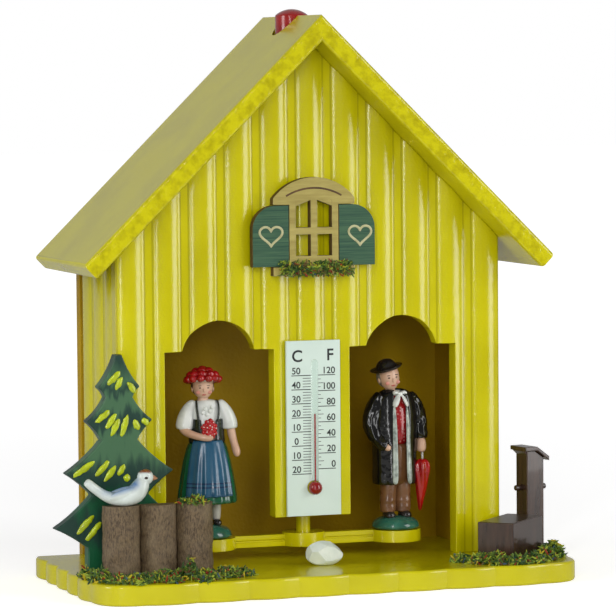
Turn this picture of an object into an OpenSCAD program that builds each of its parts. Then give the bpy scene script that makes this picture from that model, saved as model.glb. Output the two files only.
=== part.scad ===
// Weather house: a small wooden house whose two figures hang on a swinging beam.
// A gut string inside the roof twists with the damp of the air and turns the beam.
// The frame stands on the middle of the base plate's underside, front towards -Y.

/* [House] */
// Width of the house over its side walls
house_w = 128.4; // [110:0.1:150]
// Depth from the front wall's ribs to the back edge of the base plate
house_d = 44.8; // [42:0.1:70]
// Thickness of the front wall and side walls at the crown of a rib
wall_t = 6; // [5:0.1:9]
// Thickness of the back panel
back_t = 4; // [2:0.1:8]
// Number of planks across the front wall
plank_count = 11; // [9:1:13]
// Number of planks along one side wall
side_plank_count = 3; // [2:1:5]
// Width of the groove between two planks
groove_w = 2.7; // [1.5:0.1:4]
// Height of a plank's crown above the groove
plank_rise = 1.3; // [0.5:0.1:2]

/* [Base plate] */
// Thickness of the base plate
base_t = 6.5; // [4:0.1:12]
// Depth of the terrace in front of the house
porch_d = 35.8; // [35:0.1:60]
// Width of the base plate beside each side wall
base_margin = 16.8; // [16:0.1:30]
// Radius of the two front corners
base_corner_r = 16; // [4:0.5:20]

/* [Roof] */
// Height of the ridge above the table
ridge_h = 180; // [170:0.5:210]
// Slope of each roof board in degrees
roof_pitch = 44.6; // [42:0.1:48]
// Thickness of a roof board
roof_t = 6; // [4:0.1:9]
// Reach of an eave beyond the side wall
eave_over = 13.8; // [6:0.1:20]
// Reach of the roof in front of the front wall
gable_over = 13.1; // [6:0.1:20]

/* [Doorways] */
// Width of a doorway
door_w = 36; // [34:0.1:37]
// Width of the tongue of wall between the doorways
tongue_w = 25.4; // [22:0.1:26]
// Height of a doorway's shoulders above the base plate
door_shoulder_h = 68; // [66:0.1:72]
// Radius of the arch over a doorway
arch_r = 12.2; // [8:0.1:14]
// Depth of the arch's centre below the shoulders
arch_drop = 2.7; // [0:0.1:5]
// Open height under the tongue
tongue_clear = 14.3; // [12:0.1:18]

/* [Ceiling] */
// Height of the ceiling board above the arches
ceiling_gap = 4; // [2:0.1:8]
// Thickness of the ceiling board
ceiling_t = 5; // [3:0.1:8]
// Wall of the guide bush round the stem
bush_wall = 1; // [0.6:0.1:2]
// Reach of the guide bush's flange over its hole
bush_flange_w = 0.8; // [0.4:0.1:2]
// Thickness of the flange
bush_flange_t = 1.2; // [0.8:0.1:2]

/* [Beam] */
// Diameter of the stem that the beam hangs on
stem_d = 4.6; // [3.5:0.1:5]
// Height of the stem above the guide bush
stem_head = 3; // [2:0.1:6]
// Height of the beam's underside above the base plate
beam_lift = 4; // [2:0.1:5]
// Diameter of the hub
hub_d = 13.7; // [10:0.1:15]
// Height of the hub
hub_t = 4.4; // [3.8:0.1:6]
// Height of an arm and of the discs at its ends
arm_t = 3.8; // [3:0.1:5]
// Thickness of an arm
arm_w = 3.2; // [2:0.1:4]
// Height of the groove along each side of an arm
arm_groove_h = 0.7; // [0.4:0.1:1]
// Depth of that groove
arm_groove_d = 0.6; // [0.2:0.1:0.8]
// Diameter of the disc under a figure
disc_d = 16.5; // [14:0.1:18]
// Distance of a disc outwards from the middle of its doorway
disc_outset = 0.8; // [0:0.1:1.5]

/* [Adjuster] */
// Diameter of the chimney knob
knob_d = 10.6; // [8:0.1:12]
// Gap round the chimney knob in the roof
knob_gap = 0.95; // [0.4:0.05:1.2]
// Height of the knob's top above the ridge
knob_proud = 2.2; // [1:0.1:8]
// Height of the dome on the knob
knob_dome = 2; // [1:0.1:4]
// Diameter of the spindle under the knob
spindle_d = 6; // [4:0.1:7]
// Depth of the counterbore below the roof boards' underside at the ridge
seat_depth = 6.6; // [6:0.1:8]
// Half width of the block under the ridge
block_half_w = 15; // [13:0.1:20]
// Length of the block along the ridge
block_d = 22; // [18:0.1:30]
// Height of the collar that keeps the spindle in its block
collar_t = 3; // [2:0.1:5]
// Diameter of that collar
collar_d = 10; // [9:0.1:14]
// Diameter of the gut string
gut_d = 1.2; // [0.8:0.1:1.6]

/* [Thermometer] */
// Width of the thermometer card
card_w = 18; // [14:0.1:20]
// Height of the thermometer card
card_h = 55.9; // [50:0.1:60]
// Thickness of the thermometer card
card_t = 1.2; // [1.2:0.1:2]
// Diameter of the glass tube
tube_d = 2.2; // [1.8:0.1:2.4]
// Diameter of the glass bulb
bulb_d = 4.4; // [4:0.1:4.6]
// Wall of the glass
glass_t = 0.5; // [0.3:0.05:0.6]
// Height of the bulb's centre above the card's foot
bulb_h = 9; // [7:0.1:12]
// Length of the tube above the bulb's centre
tube_len = 41; // [36:0.1:42]
// Height of the coloured column above the bulb's centre
column_h = 23.5; // [12:0.1:34]

/* [Window] */
// Height of the sill's underside above the doorways' arches
window_lift = 13.8; // [10:0.1:18]
// Thickness of the window's plywood
ply_t = 3; // [2:0.1:4]
// Half width of the window between its shutters
window_half_w = 8.2; // [7:0.1:10]
// Width of a window bar
bar_w = 2.2; // [1.4:0.1:3]
// Height of a shutter
shutter_h = 19.3; // [17:0.1:24]
// Width of a shutter
shutter_w = 11; // [9:0.1:13]
// Gap between the window and a shutter
shutter_gap = 1.2; // [0.6:0.1:2]
// Radius of a shutter's outer top corner
shutter_r = 7.5; // [3:0.1:8.5]
// Height of the sill
sill_h = 3; // [2:0.1:5]
// Half width of the sill and of the lintel
lintel_half_w = 13.6; // [12:0.1:16]
// Rise of the arched lintel above its ends
lintel_rise = 6.6; // [4:0.1:8]
// Height of a lintel's end
lintel_end = 2.2; // [1.5:0.1:4]

/* [Terrace] */
// Height of the fir tree above the base plate
tree_h = 68.5; // [60:0.1:80]
// Thickness of the fir tree's board
tree_t = 5; // [3:0.1:6]
// Radius of a half-round log
log_r = 6.1; // [5:0.1:6.4]
// Height of the logs
log_h = 22.4; // [16:0.1:26]
// Length of the bird from breast to rump
bird_len = 9; // [7:0.1:11]
// Length of the well's trough
trough_l = 24.5; // [18:0.1:25]
// Width of the well's trough
trough_w = 12.3; // [8:0.1:12.8]
// Height of the well's trough
trough_h = 12; // [8:0.1:16]
// Width of the well's square post
post_w = 6.5; // [4:0.1:8]
// Height of the well's post
post_h = 32.5; // [28:0.1:40]
// Width of the bent cap on the post
cap_w = 9.2; // [8.6:0.1:12]
// Thickness of that cap
cap_t = 1.4; // [1:0.1:2]
// Diameter of the spout pin through the post
spout_d = 1.8; // [1.2:0.1:2.4]
// Length of the pebble
pebble_l = 11.6; // [8:0.1:13]

/* [Figures] */
// Radius of the green mound under a figure
mound_r = 8; // [7:0.1:8.25]
// Radius of the skirt's hem
hem_r = 9.2; // [8:0.1:9.6]
// Radius of a head
head_r = 3.6; // [3:0.1:4]
// Width of the man's shoulders from the middle
shoulder_w = 6.8; // [5.5:0.1:7]

/* [Hidden] */
$fn = 48;
// Over-length of a cut through its piece
cut = 1;
// Radial clearance of a turning fit, of a glued fit and of a loose seat
run_gap = 0.08;
glue_gap = 0.02;
seat_gap = 0.2;

// Base plate and the planes that the walls stand on
base_w = house_w + 2 * base_margin;
base_d = porch_d + house_d;
wall_y = porch_d - base_d / 2;
room_back = base_d / 2;
back_y = room_back + back_t;
corner_x = house_w / 2;
inner_x = corner_x - wall_t;

// Planks: each crown is an arc of a large cylinder, and the outer ones stop short of the board's ends
plank_edge = 0.3;
side_len = room_back - wall_y - wall_t;
function plank_pitch(len, count) = (len + groove_w - 2 * plank_edge) / count;

// Roof: height of the boards' underside at a distance from the ridge line
function underside(x) = ridge_h - roof_t / cos(roof_pitch) - abs(x) * tan(roof_pitch);
eave_x = corner_x + eave_over;
eave_z = ridge_h - eave_x * tan(roof_pitch);
roof_front = wall_y - gable_over;
roof_d = back_y - roof_front;

// Doorways, ceiling and the beam's axis
door_x = (tongue_w + door_w) / 2;
shoulder_z = base_t + door_shoulder_h;
arch_top = shoulder_z - arch_drop + arch_r;
tongue_z = base_t + tongue_clear;
ceiling_z = arch_top + ceiling_gap;
ceiling_top = ceiling_z + ceiling_t;
bush_top = ceiling_top + bush_flange_t;
bush_drop = 2;
bush_d = stem_d + 2 * (run_gap + bush_wall);
bush_flange_d = bush_d + 2 * bush_flange_w;
pivot_y = wall_y + wall_t + bush_flange_d / 2 + seat_gap;
stem_top = bush_top + stem_head;
beam_z = base_t + beam_lift;
disc_x = door_x + disc_outset;
disc_top = beam_z + arm_t;

// Adjuster in the middle of the roof's length
knob_y = (roof_front + back_y) / 2;
hole_d = knob_d + 2 * knob_gap;
knob_top = ridge_h + knob_proud;
seat_z = underside(0) - seat_depth;
block_z = underside(block_half_w);
collar_top = block_z - seat_gap;
spindle_end = 2;
spindle_z = collar_top - collar_t - spindle_end;
gut_seat = 4;
gut_run = 2;
gut_gap = 0.2;

// Nails of the back panel: heights above the base plate
nail_heights = [13, 50, 88];
nail_d = 1.4;
nail_len = 14;
nail_head_d = 3.4;
nail_head_t = 0.7;
hang_hole_d = 6;
hang_hole_drop = 24;

// Thermometer
card_lift = 0.3;
card_z = tongue_z + card_lift;
tube_y = wall_y - card_t - tube_d / 2;
bulb_z = card_z + bulb_h;
tube_gap = 0.1;

// Window
window_z = arch_top + window_lift;
shutter_z = window_z + sill_h;
lintel_z = shutter_z + shutter_h;
pane_w = (2 * window_half_w - 3 * bar_w) / 2;
pane_gap = 3.2;
pane_head = 1.5;
rail_h = 10;
rail_z = shutter_z + rail_h;
window_face = wall_y - ply_t;

// Terrace pieces, measured from the front wall's outer corners
tree_out = 1.8;
tree_front = 8.5;
tree_x = -corner_x - tree_out;
tree_y = wall_y - tree_front;
tree_foot_w = 21;
// Tiers of the tree: half width and height of a tip, then of the notch under it, as shares of its height
tree_tiers = [
  [6.8, 0.85, 4.5, 0.803],
  [10.7, 0.701, 5.8, 0.613],
  [17.4, 0.465, 9, 0.364],
  [21, 0.217, 0, 0]
];
tree_skirt = 0.134;
log_in = 8.5;
log_front = 13.6;
log_x = -corner_x + log_in;
log_y = wall_y - log_front;
log_top = base_t + log_h;
log_lap = 0.4;
log_step = 2 * log_r - log_lap;
bird_x = log_x - log_step + log_lap;
bird_y = log_y - log_r / 2;
trough_turn = 46;
trough_in = 5.7;
trough_front = 25;
trough_x = corner_x - trough_in;
trough_y = wall_y - trough_front;
post_skew = 34.5;
post_turn = trough_turn - post_skew;
post_side = 6;
cap_pitch = 36;
pebble_front = 11;
pebble_y = wall_y - pebble_front;
moss_h = 2;
// Moss on the terrace: place from a wall's front corner and radius of each tuft
moss_left_tufts = [
  [-12.5, -24, 3.2], [-5, -26, 4], [4, -26.5, 4.2],
  [13, -26, 4], [22, -25.5, 4], [31, -23, 3.4]
];
moss_right_tufts = [
  [-20, -20, 4], [-14, -26.5, 4], [-4, -31, 3.6],
  [4, -26.5, 4], [10.5, -19.5, 3.8], [13, -12.5, 3]
];

wood_yellow = [0.80, 0.76, 0.04];
bare_wood = [0.78, 0.64, 0.42];
ply_tan = [0.80, 0.70, 0.45];
shutter_green = [0.10, 0.38, 0.30];
moss_green = [0.22, 0.42, 0.10];
log_brown = [0.33, 0.19, 0.11];
well_brown = [0.22, 0.12, 0.09];
knob_red = [0.75, 0.10, 0.10];
card_white = [0.86, 0.89, 0.86];
steel_grey = [0.72, 0.72, 0.70];
brass_gold = [0.80, 0.65, 0.28];

// A board with rounded planks on its front, standing on z = 0 with its crowns at y = 0
module plank_board(len, count, h) {
  pitch = plank_pitch(len, count);
  half = (pitch - groove_w) / 2;
  crown_r = (half * half + plank_rise * plank_rise) / (2 * plank_rise);
  translate([-len / 2, plank_rise, 0])
    cube([len, wall_t - plank_rise, h]);
  for (i = [0 : count - 1])
    translate([(i - (count - 1) / 2) * pitch, 0, 0])
      intersection() {
        translate([0, crown_r, 0])
          cylinder(r = crown_r, h = h, $fn = 96);
        translate([-half, -cut, 0])
          cube([2 * half, plank_rise + 2 * cut, h]);
      }
}

// Everything below the roof boards, from one depth to another
module under_roof(from_y, to_y) {
  translate([0, to_y, 0])
    rotate([90, 0, 0])
      linear_extrude(to_y - from_y)
        polygon([
          [-eave_x, 0],
          [eave_x, 0],
          [eave_x, underside(eave_x)],
          [0, underside(0)],
          [-eave_x, underside(eave_x)]
        ]);
}

// A low round tuft with a domed top
module tuft(r, h) {
  ball = (r * r + h * h) / (2 * h);
  intersection() {
    translate([0, 0, h - ball])
      sphere(ball);
    cylinder(r = r + cut, h = h + cut);
  }
}

// A limb between two round ends
module limb(from, r1, to, r2) {
  hull() {
    translate(from)
      sphere(r1, $fn = 20);
    translate(to)
      sphere(r2, $fn = 20);
  }
}

module base_plate() {
  corner_y = -base_d / 2 + base_corner_r;
  color(wood_yellow)
    difference() {
      translate([-base_w / 2, -base_d / 2, 0])
        cube([base_w, base_d, base_t]);
      for (s = [-1, 1])
        translate([s * (base_w / 2 - base_corner_r), corner_y, -cut])
          difference() {
            translate([s > 0 ? 0 : -base_corner_r - cut, -base_corner_r - cut, 0])
              cube([base_corner_r + cut, base_corner_r + cut, base_t + 2 * cut]);
            translate([0, 0, -cut])
              cylinder(r = base_corner_r, h = base_t + 4 * cut);
          }
    }
}

module doorway(side) {
  translate([side * door_x - door_w / 2, wall_y - cut, base_t - cut])
    cube([door_w, wall_t + 2 * cut, door_shoulder_h + cut]);
  translate([side * door_x, wall_y + wall_t + cut, shoulder_z - arch_drop])
    rotate([90, 0, 0])
      cylinder(r = arch_r, h = wall_t + 2 * cut);
}

module front_wall() {
  color(wood_yellow)
    difference() {
      intersection() {
        translate([0, wall_y, base_t])
          plank_board(house_w, plank_count, ridge_h);
        under_roof(wall_y - cut, wall_y + wall_t);
      }
      doorway(-1);
      doorway(1);
      translate([-door_x, wall_y - cut, base_t - cut])
        cube([2 * door_x, wall_t + 2 * cut, tongue_clear + cut]);
    }
}

// A side wall with its planks outwards and blind holes for the back panel's nails
module side_wall(side) {
  color(wood_yellow)
    difference() {
      intersection() {
        translate([side * corner_x, wall_y + wall_t + side_len / 2, base_t])
          rotate([0, 0, side * 90])
            plank_board(side_len, side_plank_count, ridge_h);
        under_roof(wall_y, back_y);
      }
      nail_holes(side);
    }
}

module left_wall() side_wall(-1);

module right_wall() side_wall(1);

module nail_holes(side) {
  for (h = nail_heights)
    translate([side * (corner_x - wall_t / 2), back_y + cut, base_t + h])
      rotate([90, 0, 0])
        cylinder(d = nail_d + 2 * glue_gap, h = nail_len + 2 * cut);
}

module back_panel() {
  color(wood_yellow)
    difference() {
      intersection() {
        translate([-corner_x, room_back, 0])
          cube([house_w, back_t, ridge_h]);
        under_roof(room_back - cut, back_y + cut);
      }
      nail_holes(-1);
      nail_holes(1);
      translate([0, back_y + cut, underside(0) - hang_hole_drop])
        rotate([90, 0, 0])
          cylinder(d = hang_hole_d, h = back_t + 2 * cut);
    }
}

module panel_nails() {
  color(steel_grey)
    for (side = [-1, 1], h = nail_heights)
      translate([side * (corner_x - wall_t / 2), back_y, base_t + h])
        rotate([90, 0, 0]) {
          cylinder(d = nail_d, h = nail_len);
          translate([0, 0, -nail_head_t])
            cylinder(d = nail_head_d, h = nail_head_t);
        }
}

module ceiling_board() {
  color(wood_yellow)
    difference() {
      translate([-inner_x, wall_y + wall_t, ceiling_z])
        cube([2 * inner_x, side_len, ceiling_t]);
      translate([0, pivot_y, ceiling_z - cut])
        cylinder(d = bush_d + 2 * glue_gap, h = ceiling_t + 2 * cut);
    }
}

module guide_bush() {
  color(brass_gold)
    translate([0, pivot_y, 0])
      difference() {
        union() {
          translate([0, 0, ceiling_z - bush_drop])
            cylinder(d = bush_d, h = ceiling_t + bush_drop);
          translate([0, 0, ceiling_top])
            cylinder(d = bush_flange_d, h = bush_flange_t);
        }
        translate([0, 0, ceiling_z - bush_drop - cut])
          cylinder(d = stem_d + 2 * run_gap, h = ceiling_t + bush_drop + bush_flange_t + 2 * cut);
      }
}

// A roof board, mitred along the ridge and cut square to its slope at the eave
module roof_board(side) {
  lift_x = roof_t * sin(roof_pitch);
  lift_z = roof_t * cos(roof_pitch);
  color(wood_yellow)
    difference() {
      translate([0, back_y, 0])
        rotate([90, 0, 0])
          linear_extrude(roof_d)
            polygon([
              [0, ridge_h],
              [side * eave_x, eave_z],
              [side * (eave_x - lift_x), eave_z - lift_z],
              [0, underside(0)]
            ]);
      translate([0, knob_y, seat_z])
        cylinder(d = hole_d, h = ridge_h);
    }
}

module left_roof() roof_board(-1);

module right_roof() roof_board(1);

module ridge_block() {
  color(bare_wood)
    difference() {
      intersection() {
        translate([-block_half_w, knob_y - block_d / 2, block_z])
          cube([2 * block_half_w, block_d, ridge_h]);
        under_roof(roof_front, back_y);
      }
      translate([0, knob_y, seat_z])
        cylinder(d = hole_d, h = ridge_h);
      translate([0, knob_y, block_z - cut])
        cylinder(d = spindle_d + 2 * run_gap, h = ridge_h);
    }
}

module chimney_knob() {
  ball = (knob_d * knob_d / 4 + knob_dome * knob_dome) / (2 * knob_dome);
  color(knob_red)
    translate([0, knob_y, 0])
      difference() {
        union() {
          intersection() {
            translate([0, 0, seat_z + seat_gap])
              cylinder(d = knob_d, h = knob_top - seat_z);
            translate([0, 0, knob_top - ball])
              sphere(ball, $fn = 96);
          }
          translate([0, 0, spindle_z])
            cylinder(d = spindle_d, h = seat_z + seat_gap + cut - spindle_z);
        }
        translate([0, 0, spindle_z - cut])
          cylinder(d = gut_d + 2 * gut_gap, h = gut_seat + cut);
      }
}

module knob_collar() {
  color(bare_wood)
    translate([0, knob_y, collar_top - collar_t])
      difference() {
        cylinder(d = collar_d, h = collar_t);
        translate([0, 0, -cut])
          cylinder(d = spindle_d + 2 * glue_gap, h = collar_t + 2 * cut);
      }
}

// The gut string hangs from the spindle and leads down to the stem's head
module gut_string() {
  sides = 8;
  route = [
    [knob_y, spindle_z + gut_seat - gut_gap],
    [knob_y, spindle_z - gut_run],
    [pivot_y, stem_top + gut_run],
    [pivot_y, stem_top - gut_seat + gut_gap]
  ];
  lean = atan2(route[1].x - route[2].x, route[1].y - route[2].y);
  tilts = [0, lean / 2, lean / 2, 0];
  points = [
    for (i = [0 : 3], k = [0 : sides - 1])
      let (x = gut_d / 2 * cos(k * 360 / sides), y = gut_d / 2 * sin(k * 360 / sides))
        [x, route[i].x + y * cos(tilts[i]), route[i].y - y * sin(tilts[i])]
  ];
  walls = [
    for (i = [0 : 2], k = [0 : sides - 1])
      let (a = i * sides + k, b = i * sides + (k + 1) % sides)
        [a, b, b + sides, a + sides]
  ];
  ends = [[for (k = [sides - 1 : -1 : 0]) k], [for (k = [0 : sides - 1]) 3 * sides + k]];
  color([0.85, 0.75, 0.55])
    mirror([1, 0, 0])
      polyhedron(points, concat(walls, ends));
}

module thermometer_card() {
  color(card_white)
    difference() {
      translate([-card_w / 2, wall_y - card_t, card_z])
        cube([card_w, card_t, card_h]);
      translate([0, wall_y + cut, bulb_z])
        rotate([90, 0, 0])
          cylinder(d = bulb_d + 2 * tube_gap, h = card_t + 2 * cut);
    }
}

// A tube with a round bulb at its foot and a closed head, turned about its own axis
module tube_form(tube_r, bulb_r, len) {
  cylinder(r = tube_r, h = len - tube_r);
  translate([0, 0, len - tube_r])
    sphere(tube_r);
  sphere(bulb_r);
}

module thermometer_tube() {
  color([0.85, 0.92, 0.92, 0.5])
    translate([0, tube_y - tube_gap, bulb_z])
      difference() {
        tube_form(tube_d / 2, bulb_d / 2, tube_len);
        tube_form(tube_d / 2 - glass_t, bulb_d / 2 - glass_t, tube_len - glass_t);
      }
}

module thermometer_liquid() {
  bore_r = tube_d / 2 - glass_t - glue_gap;
  color([0.70, 0.08, 0.10])
    translate([0, tube_y - tube_gap, bulb_z]) {
      sphere(bulb_d / 2 - glass_t - glue_gap);
      cylinder(r = bore_r, h = column_h);
    }
}

// Cuts one pane through the window's plywood
module pane(x, z, h) {
  translate([x, window_face - cut, z])
    cube([pane_w, ply_t + 2 * cut, h]);
}

module window_frame() {
  lintel_r = (lintel_half_w * lintel_half_w + lintel_rise * lintel_rise) / (2 * lintel_rise);
  lintel_top = lintel_z + lintel_end + lintel_rise;
  color(ply_tan)
    difference() {
      union() {
        translate([-window_half_w, window_face, window_z])
          cube([2 * window_half_w, ply_t, lintel_z - window_z + cut]);
        translate([-lintel_half_w, window_face, window_z])
          cube([2 * lintel_half_w, ply_t, sill_h - seat_gap]);
        intersection() {
          translate([0, wall_y, lintel_top - lintel_r])
            rotate([90, 0, 0])
              cylinder(r = lintel_r, h = ply_t, $fn = 96);
          translate([-lintel_half_w, window_face, lintel_z + seat_gap])
            cube([2 * lintel_half_w, ply_t, lintel_rise + lintel_end]);
        }
      }
      for (x = [-window_half_w + bar_w, bar_w / 2]) {
        pane(x, shutter_z + pane_gap, rail_z - shutter_z - pane_gap);
        pane(x, rail_z + bar_w, lintel_z - rail_z - bar_w + pane_head);
      }
    }
}

module shutter(side) {
  inner = window_half_w + shutter_gap;
  outer = inner + shutter_w;
  color(shutter_green)
    difference() {
      translate([side > 0 ? inner : -outer, window_face, shutter_z])
        cube([shutter_w, ply_t, shutter_h]);
      translate([side * (outer - shutter_r), wall_y, shutter_z + shutter_h - shutter_r])
        rotate([90, 0, 0])
          difference() {
            translate([side > 0 ? 0 : -shutter_r - cut, 0, -cut])
              cube([shutter_r + cut, shutter_r + cut, ply_t + 2 * cut]);
            translate([0, 0, -2 * cut])
              cylinder(r = shutter_r, h = ply_t + 4 * cut);
          }
    }
}

module left_shutter() shutter(-1);

module right_shutter() shutter(1);

module window_moss() {
  tuft_count = 6;
  tuft_r = 3.1;
  tuft_h = 2.2;
  tuft_step = 4.4;
  tuft_hang = 0.6;
  color(moss_green)
    for (i = [0 : tuft_count - 1])
      translate([(i - (tuft_count - 1) / 2) * tuft_step, window_face, window_z + tuft_r - tuft_hang])
        rotate([90, 0, 0])
          tuft(tuft_r, tuft_h);
}

module fir_tree() {
  right = concat([[0, tree_h]], [
    for (t = tree_tiers, k = [0, 1])
      if (k == 0 || t[2] > 0)
        [t[2 * k], t[2 * k + 1] * tree_h]
  ], [
    [tree_foot_w / 2, tree_skirt * tree_h],
    [tree_foot_w / 2, 0]
  ]);
  left = [for (i = [len(right) - 1 : -1 : 1]) [-right[i].x, right[i].y]];
  color([0.10, 0.33, 0.16])
    translate([tree_x, tree_y + tree_t, base_t])
      rotate([90, 0, 0])
        linear_extrude(tree_t)
          polygon(concat(right, left));
}

module log_fence() {
  color(log_brown)
    intersection() {
      for (i = [-1 : 1])
        translate([log_x + i * log_step, log_y, base_t])
          cylinder(r = log_r, h = log_h);
      translate([-base_w, log_y - 2 * log_r, 0])
        cube([2 * base_w, 2 * log_r, ridge_h]);
    }
}

module log_moss() {
  tuft_r = 2.8;
  tuft_h = 3;
  color(moss_green)
    translate([log_x + log_step, log_y - log_r / 2, log_top])
      tuft(tuft_r, tuft_h);
}

module bird() {
  breast_r = 4;
  rump_r = 2.6;
  crown_r = 2.5;
  neck_r = 2.4;
  tail_r = [2.2, 0.9];
  beak_r = [1, 0.4];
  rump_lift = 2;
  breast = [bird_x + bird_len / 2, bird_y, log_top + breast_r + seat_gap];
  rump = [bird_x - bird_len / 2, bird_y, log_top + rump_r + rump_lift];
  head = breast + [4.2, 0, 3.4];
  tail = rump + [-7, 0, 2.6];
  beak = head + [4.2, 0, -0.4];
  color([0.82, 0.86, 0.90]) {
    limb(breast, breast_r, rump, rump_r);
    limb(breast, neck_r, head, crown_r);
    limb(rump, tail_r[0], tail, tail_r[1]);
    limb(head, beak_r[0], beak, beak_r[1]);
  }
}

// Places a piece in the frame of the turned trough, whose front corner is at its zero
module at_trough() {
  translate([trough_x, trough_y, base_t])
    rotate([0, 0, trough_turn])
      children();
}

module well_trough() {
  color(well_brown)
    at_trough()
      cube([trough_l, trough_w, trough_h]);
}

// Places a piece on the middle of the post's foot
module at_post() {
  reach = post_w / 2 * (cos(trough_turn - post_turn) + sin(trough_turn - post_turn));
  at_trough()
    translate([trough_l + reach + glue_gap, post_side, 0])
      rotate([0, 0, post_turn - trough_turn])
        children();
}

module spout_pin(gap) {
  spout_drop = 12.1;
  spout_out = 2.5;
  translate([-post_w / 2 - spout_out, 0, post_h - spout_drop])
    rotate([0, 90, 0])
      cylinder(d = spout_d + 2 * gap, h = post_w + 2 * spout_out);
}

// A length along the post's depth of an outline drawn from the middle of its top
module post_length(depth) {
  translate([0, depth / 2, post_h])
    rotate([90, 0, 0])
      linear_extrude(depth)
        children();
}

module well_post() {
  color(well_brown)
    at_post()
      difference() {
        post_length(post_w)
          polygon([
            [-post_w / 2, -post_h],
            [post_w / 2, -post_h],
            [post_w / 2, -post_w / 2 * tan(cap_pitch)],
            [0, 0],
            [-post_w / 2, 0]
          ]);
        spout_pin(glue_gap);
      }
}

module well_spout() {
  color(well_brown)
    at_post()
      spout_pin(0);
}

// The cap lies flat on half of the post and is bent down over the rest, with a fillet under its flat edge
module well_cap() {
  half = cap_w / 2;
  fall = half * tan(cap_pitch);
  fillet = 1.3;
  color(well_brown)
    at_post() {
      post_length(cap_w)
        polygon([
          [-half, 0],
          [0, 0],
          [half, -fall],
          [half, cap_t - fall],
          [0, cap_t],
          [-half, cap_t]
        ]);
      post_length(post_w)
        polygon([
          [-half, cap_t / 2],
          [-half, 0],
          [-post_w / 2 - glue_gap, -fillet],
          [-post_w / 2 - glue_gap, cap_t / 2]
        ]);
    }
}

module pebble() {
  lobe_r = 3;
  reach = pebble_l / 2 - lobe_r;
  lobes = [[-reach, 0, 3.6], [reach, 0.6, 2.4], [-0.6, 0.4, 4.4]];
  color([0.90, 0.91, 0.90])
    intersection() {
      translate([0, pebble_y, base_t])
        hull()
          for (lobe = lobes)
            translate(lobe)
              sphere(lobe_r, $fn = 24);
      translate([-base_w, -base_w, base_t])
        cube(2 * base_w);
    }
}

module moss(side, tufts) {
  color(moss_green)
    for (t = tufts)
      translate([side * corner_x + t[0], wall_y + t[1], base_t])
        tuft(t[2], moss_h);
}

module moss_left() moss(-1, moss_left_tufts);

module moss_right() moss(1, moss_right_tufts);

module beam() {
  color(wood_yellow)
    translate([0, pivot_y, beam_z])
      difference() {
        union() {
          cylinder(d = hub_d, h = hub_t);
          translate([-disc_x, -arm_w / 2, 0])
            cube([2 * disc_x, arm_w, arm_t]);
          for (s = [-1, 1])
            translate([s * disc_x, 0, 0])
              cylinder(d = disc_d, h = arm_t);
        }
        for (s = [-1, 1], t = [-1, 1])
          translate([s * (hub_d / 2 + disc_x - disc_d / 2) / 2, t * arm_w / 2, arm_t / 2])
            cube([disc_x - disc_d / 2 - hub_d / 2, 2 * arm_groove_d, arm_groove_h], center = true);
        translate([0, 0, -cut])
          cylinder(d = stem_d + 2 * glue_gap, h = hub_t + 2 * cut);
      }
}

module stem() {
  color(wood_yellow)
    translate([0, pivot_y, 0])
      difference() {
        translate([0, 0, beam_z])
          cylinder(d = stem_d, h = stem_top - beam_z);
        translate([0, 0, stem_top - gut_seat])
          cylinder(d = gut_d + 2 * gut_gap, h = gut_seat + cut);
      }
}

// A round piece turned from pairs of radius and height
module turned(profile) {
  last = len(profile) - 1;
  rotate_extrude($fn = 32)
    polygon(concat([[0, profile[0].y]], profile, [[0, profile[last].y]]));
}

// The green mound, two shoes and two legs that both figures have
module figure_legs(knee_z, leg_r, spread) {
  ankle_z = 3.2;
  toe = [0.5, -3, -0.4];
  shoe_r = [1.5, 1.3];
  mound = [[mound_r, 0], [mound_r, 0.8], [mound_r - 1.2, 1.9], [spread, 2.4]];
  turned(mound);
  for (s = [-1, 1]) {
    ankle = [s * spread, 0, ankle_z];
    limb(ankle, shoe_r[0], ankle + [s * toe.x, toe.y, toe.z], shoe_r[1]);
    limb(ankle, leg_r, [s * spread, 0, knee_z], leg_r);
  }
}

module woman_figure() {
  aside = 0.6;
  waist_z = 31;
  bodice_top = 41.5;
  head = [-1.2, -0.3, 47.6];
  bonnet_z = 49;
  dress = [
    [hem_r, 11], [hem_r - 0.6, 15], [7, 24], [4.7, waist_z], [4.4, waist_z + 3],
    [4.8, 37], [4.2, bodice_top], [1.7, 43.2], [1.7, head.z - 2]
  ];
  bonnet = [[5.8, 0.2], [6.1, 1], [5.2, 2], [4.9, 3.8], [3.4, 5.6], [1, 6.3]];
  shoulders = [[-5, 0, 40], [5, 0, 39.6]];
  elbows = [[-8, -1.4, 34.8], [7.6, -0.6, 34.6]];
  hands = [[0.6, -5, 31.8], [9.2, -1.8, 27]];
  sleeve_r = [2.6, 2];
  arm_r = [1.6, 1.3];
  posy = [1, -5.6, 35];
  posy_r = 2.8;
  color([0.12, 0.28, 0.52])
    translate([-disc_x - aside, pivot_y, disc_top]) {
      figure_legs(14, 1.6, 2.8);
      turned(dress);
      translate(head)
        sphere(head_r, $fn = 24);
      translate([head.x, 0, bonnet_z])
        turned(bonnet);
      for (i = [0, 1]) {
        limb(shoulders[i], sleeve_r[0], elbows[i], sleeve_r[1]);
        limb(elbows[i], arm_r[0], hands[i], arm_r[1]);
      }
      translate(posy)
        sphere(posy_r, $fn = 20);
    }
}

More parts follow.
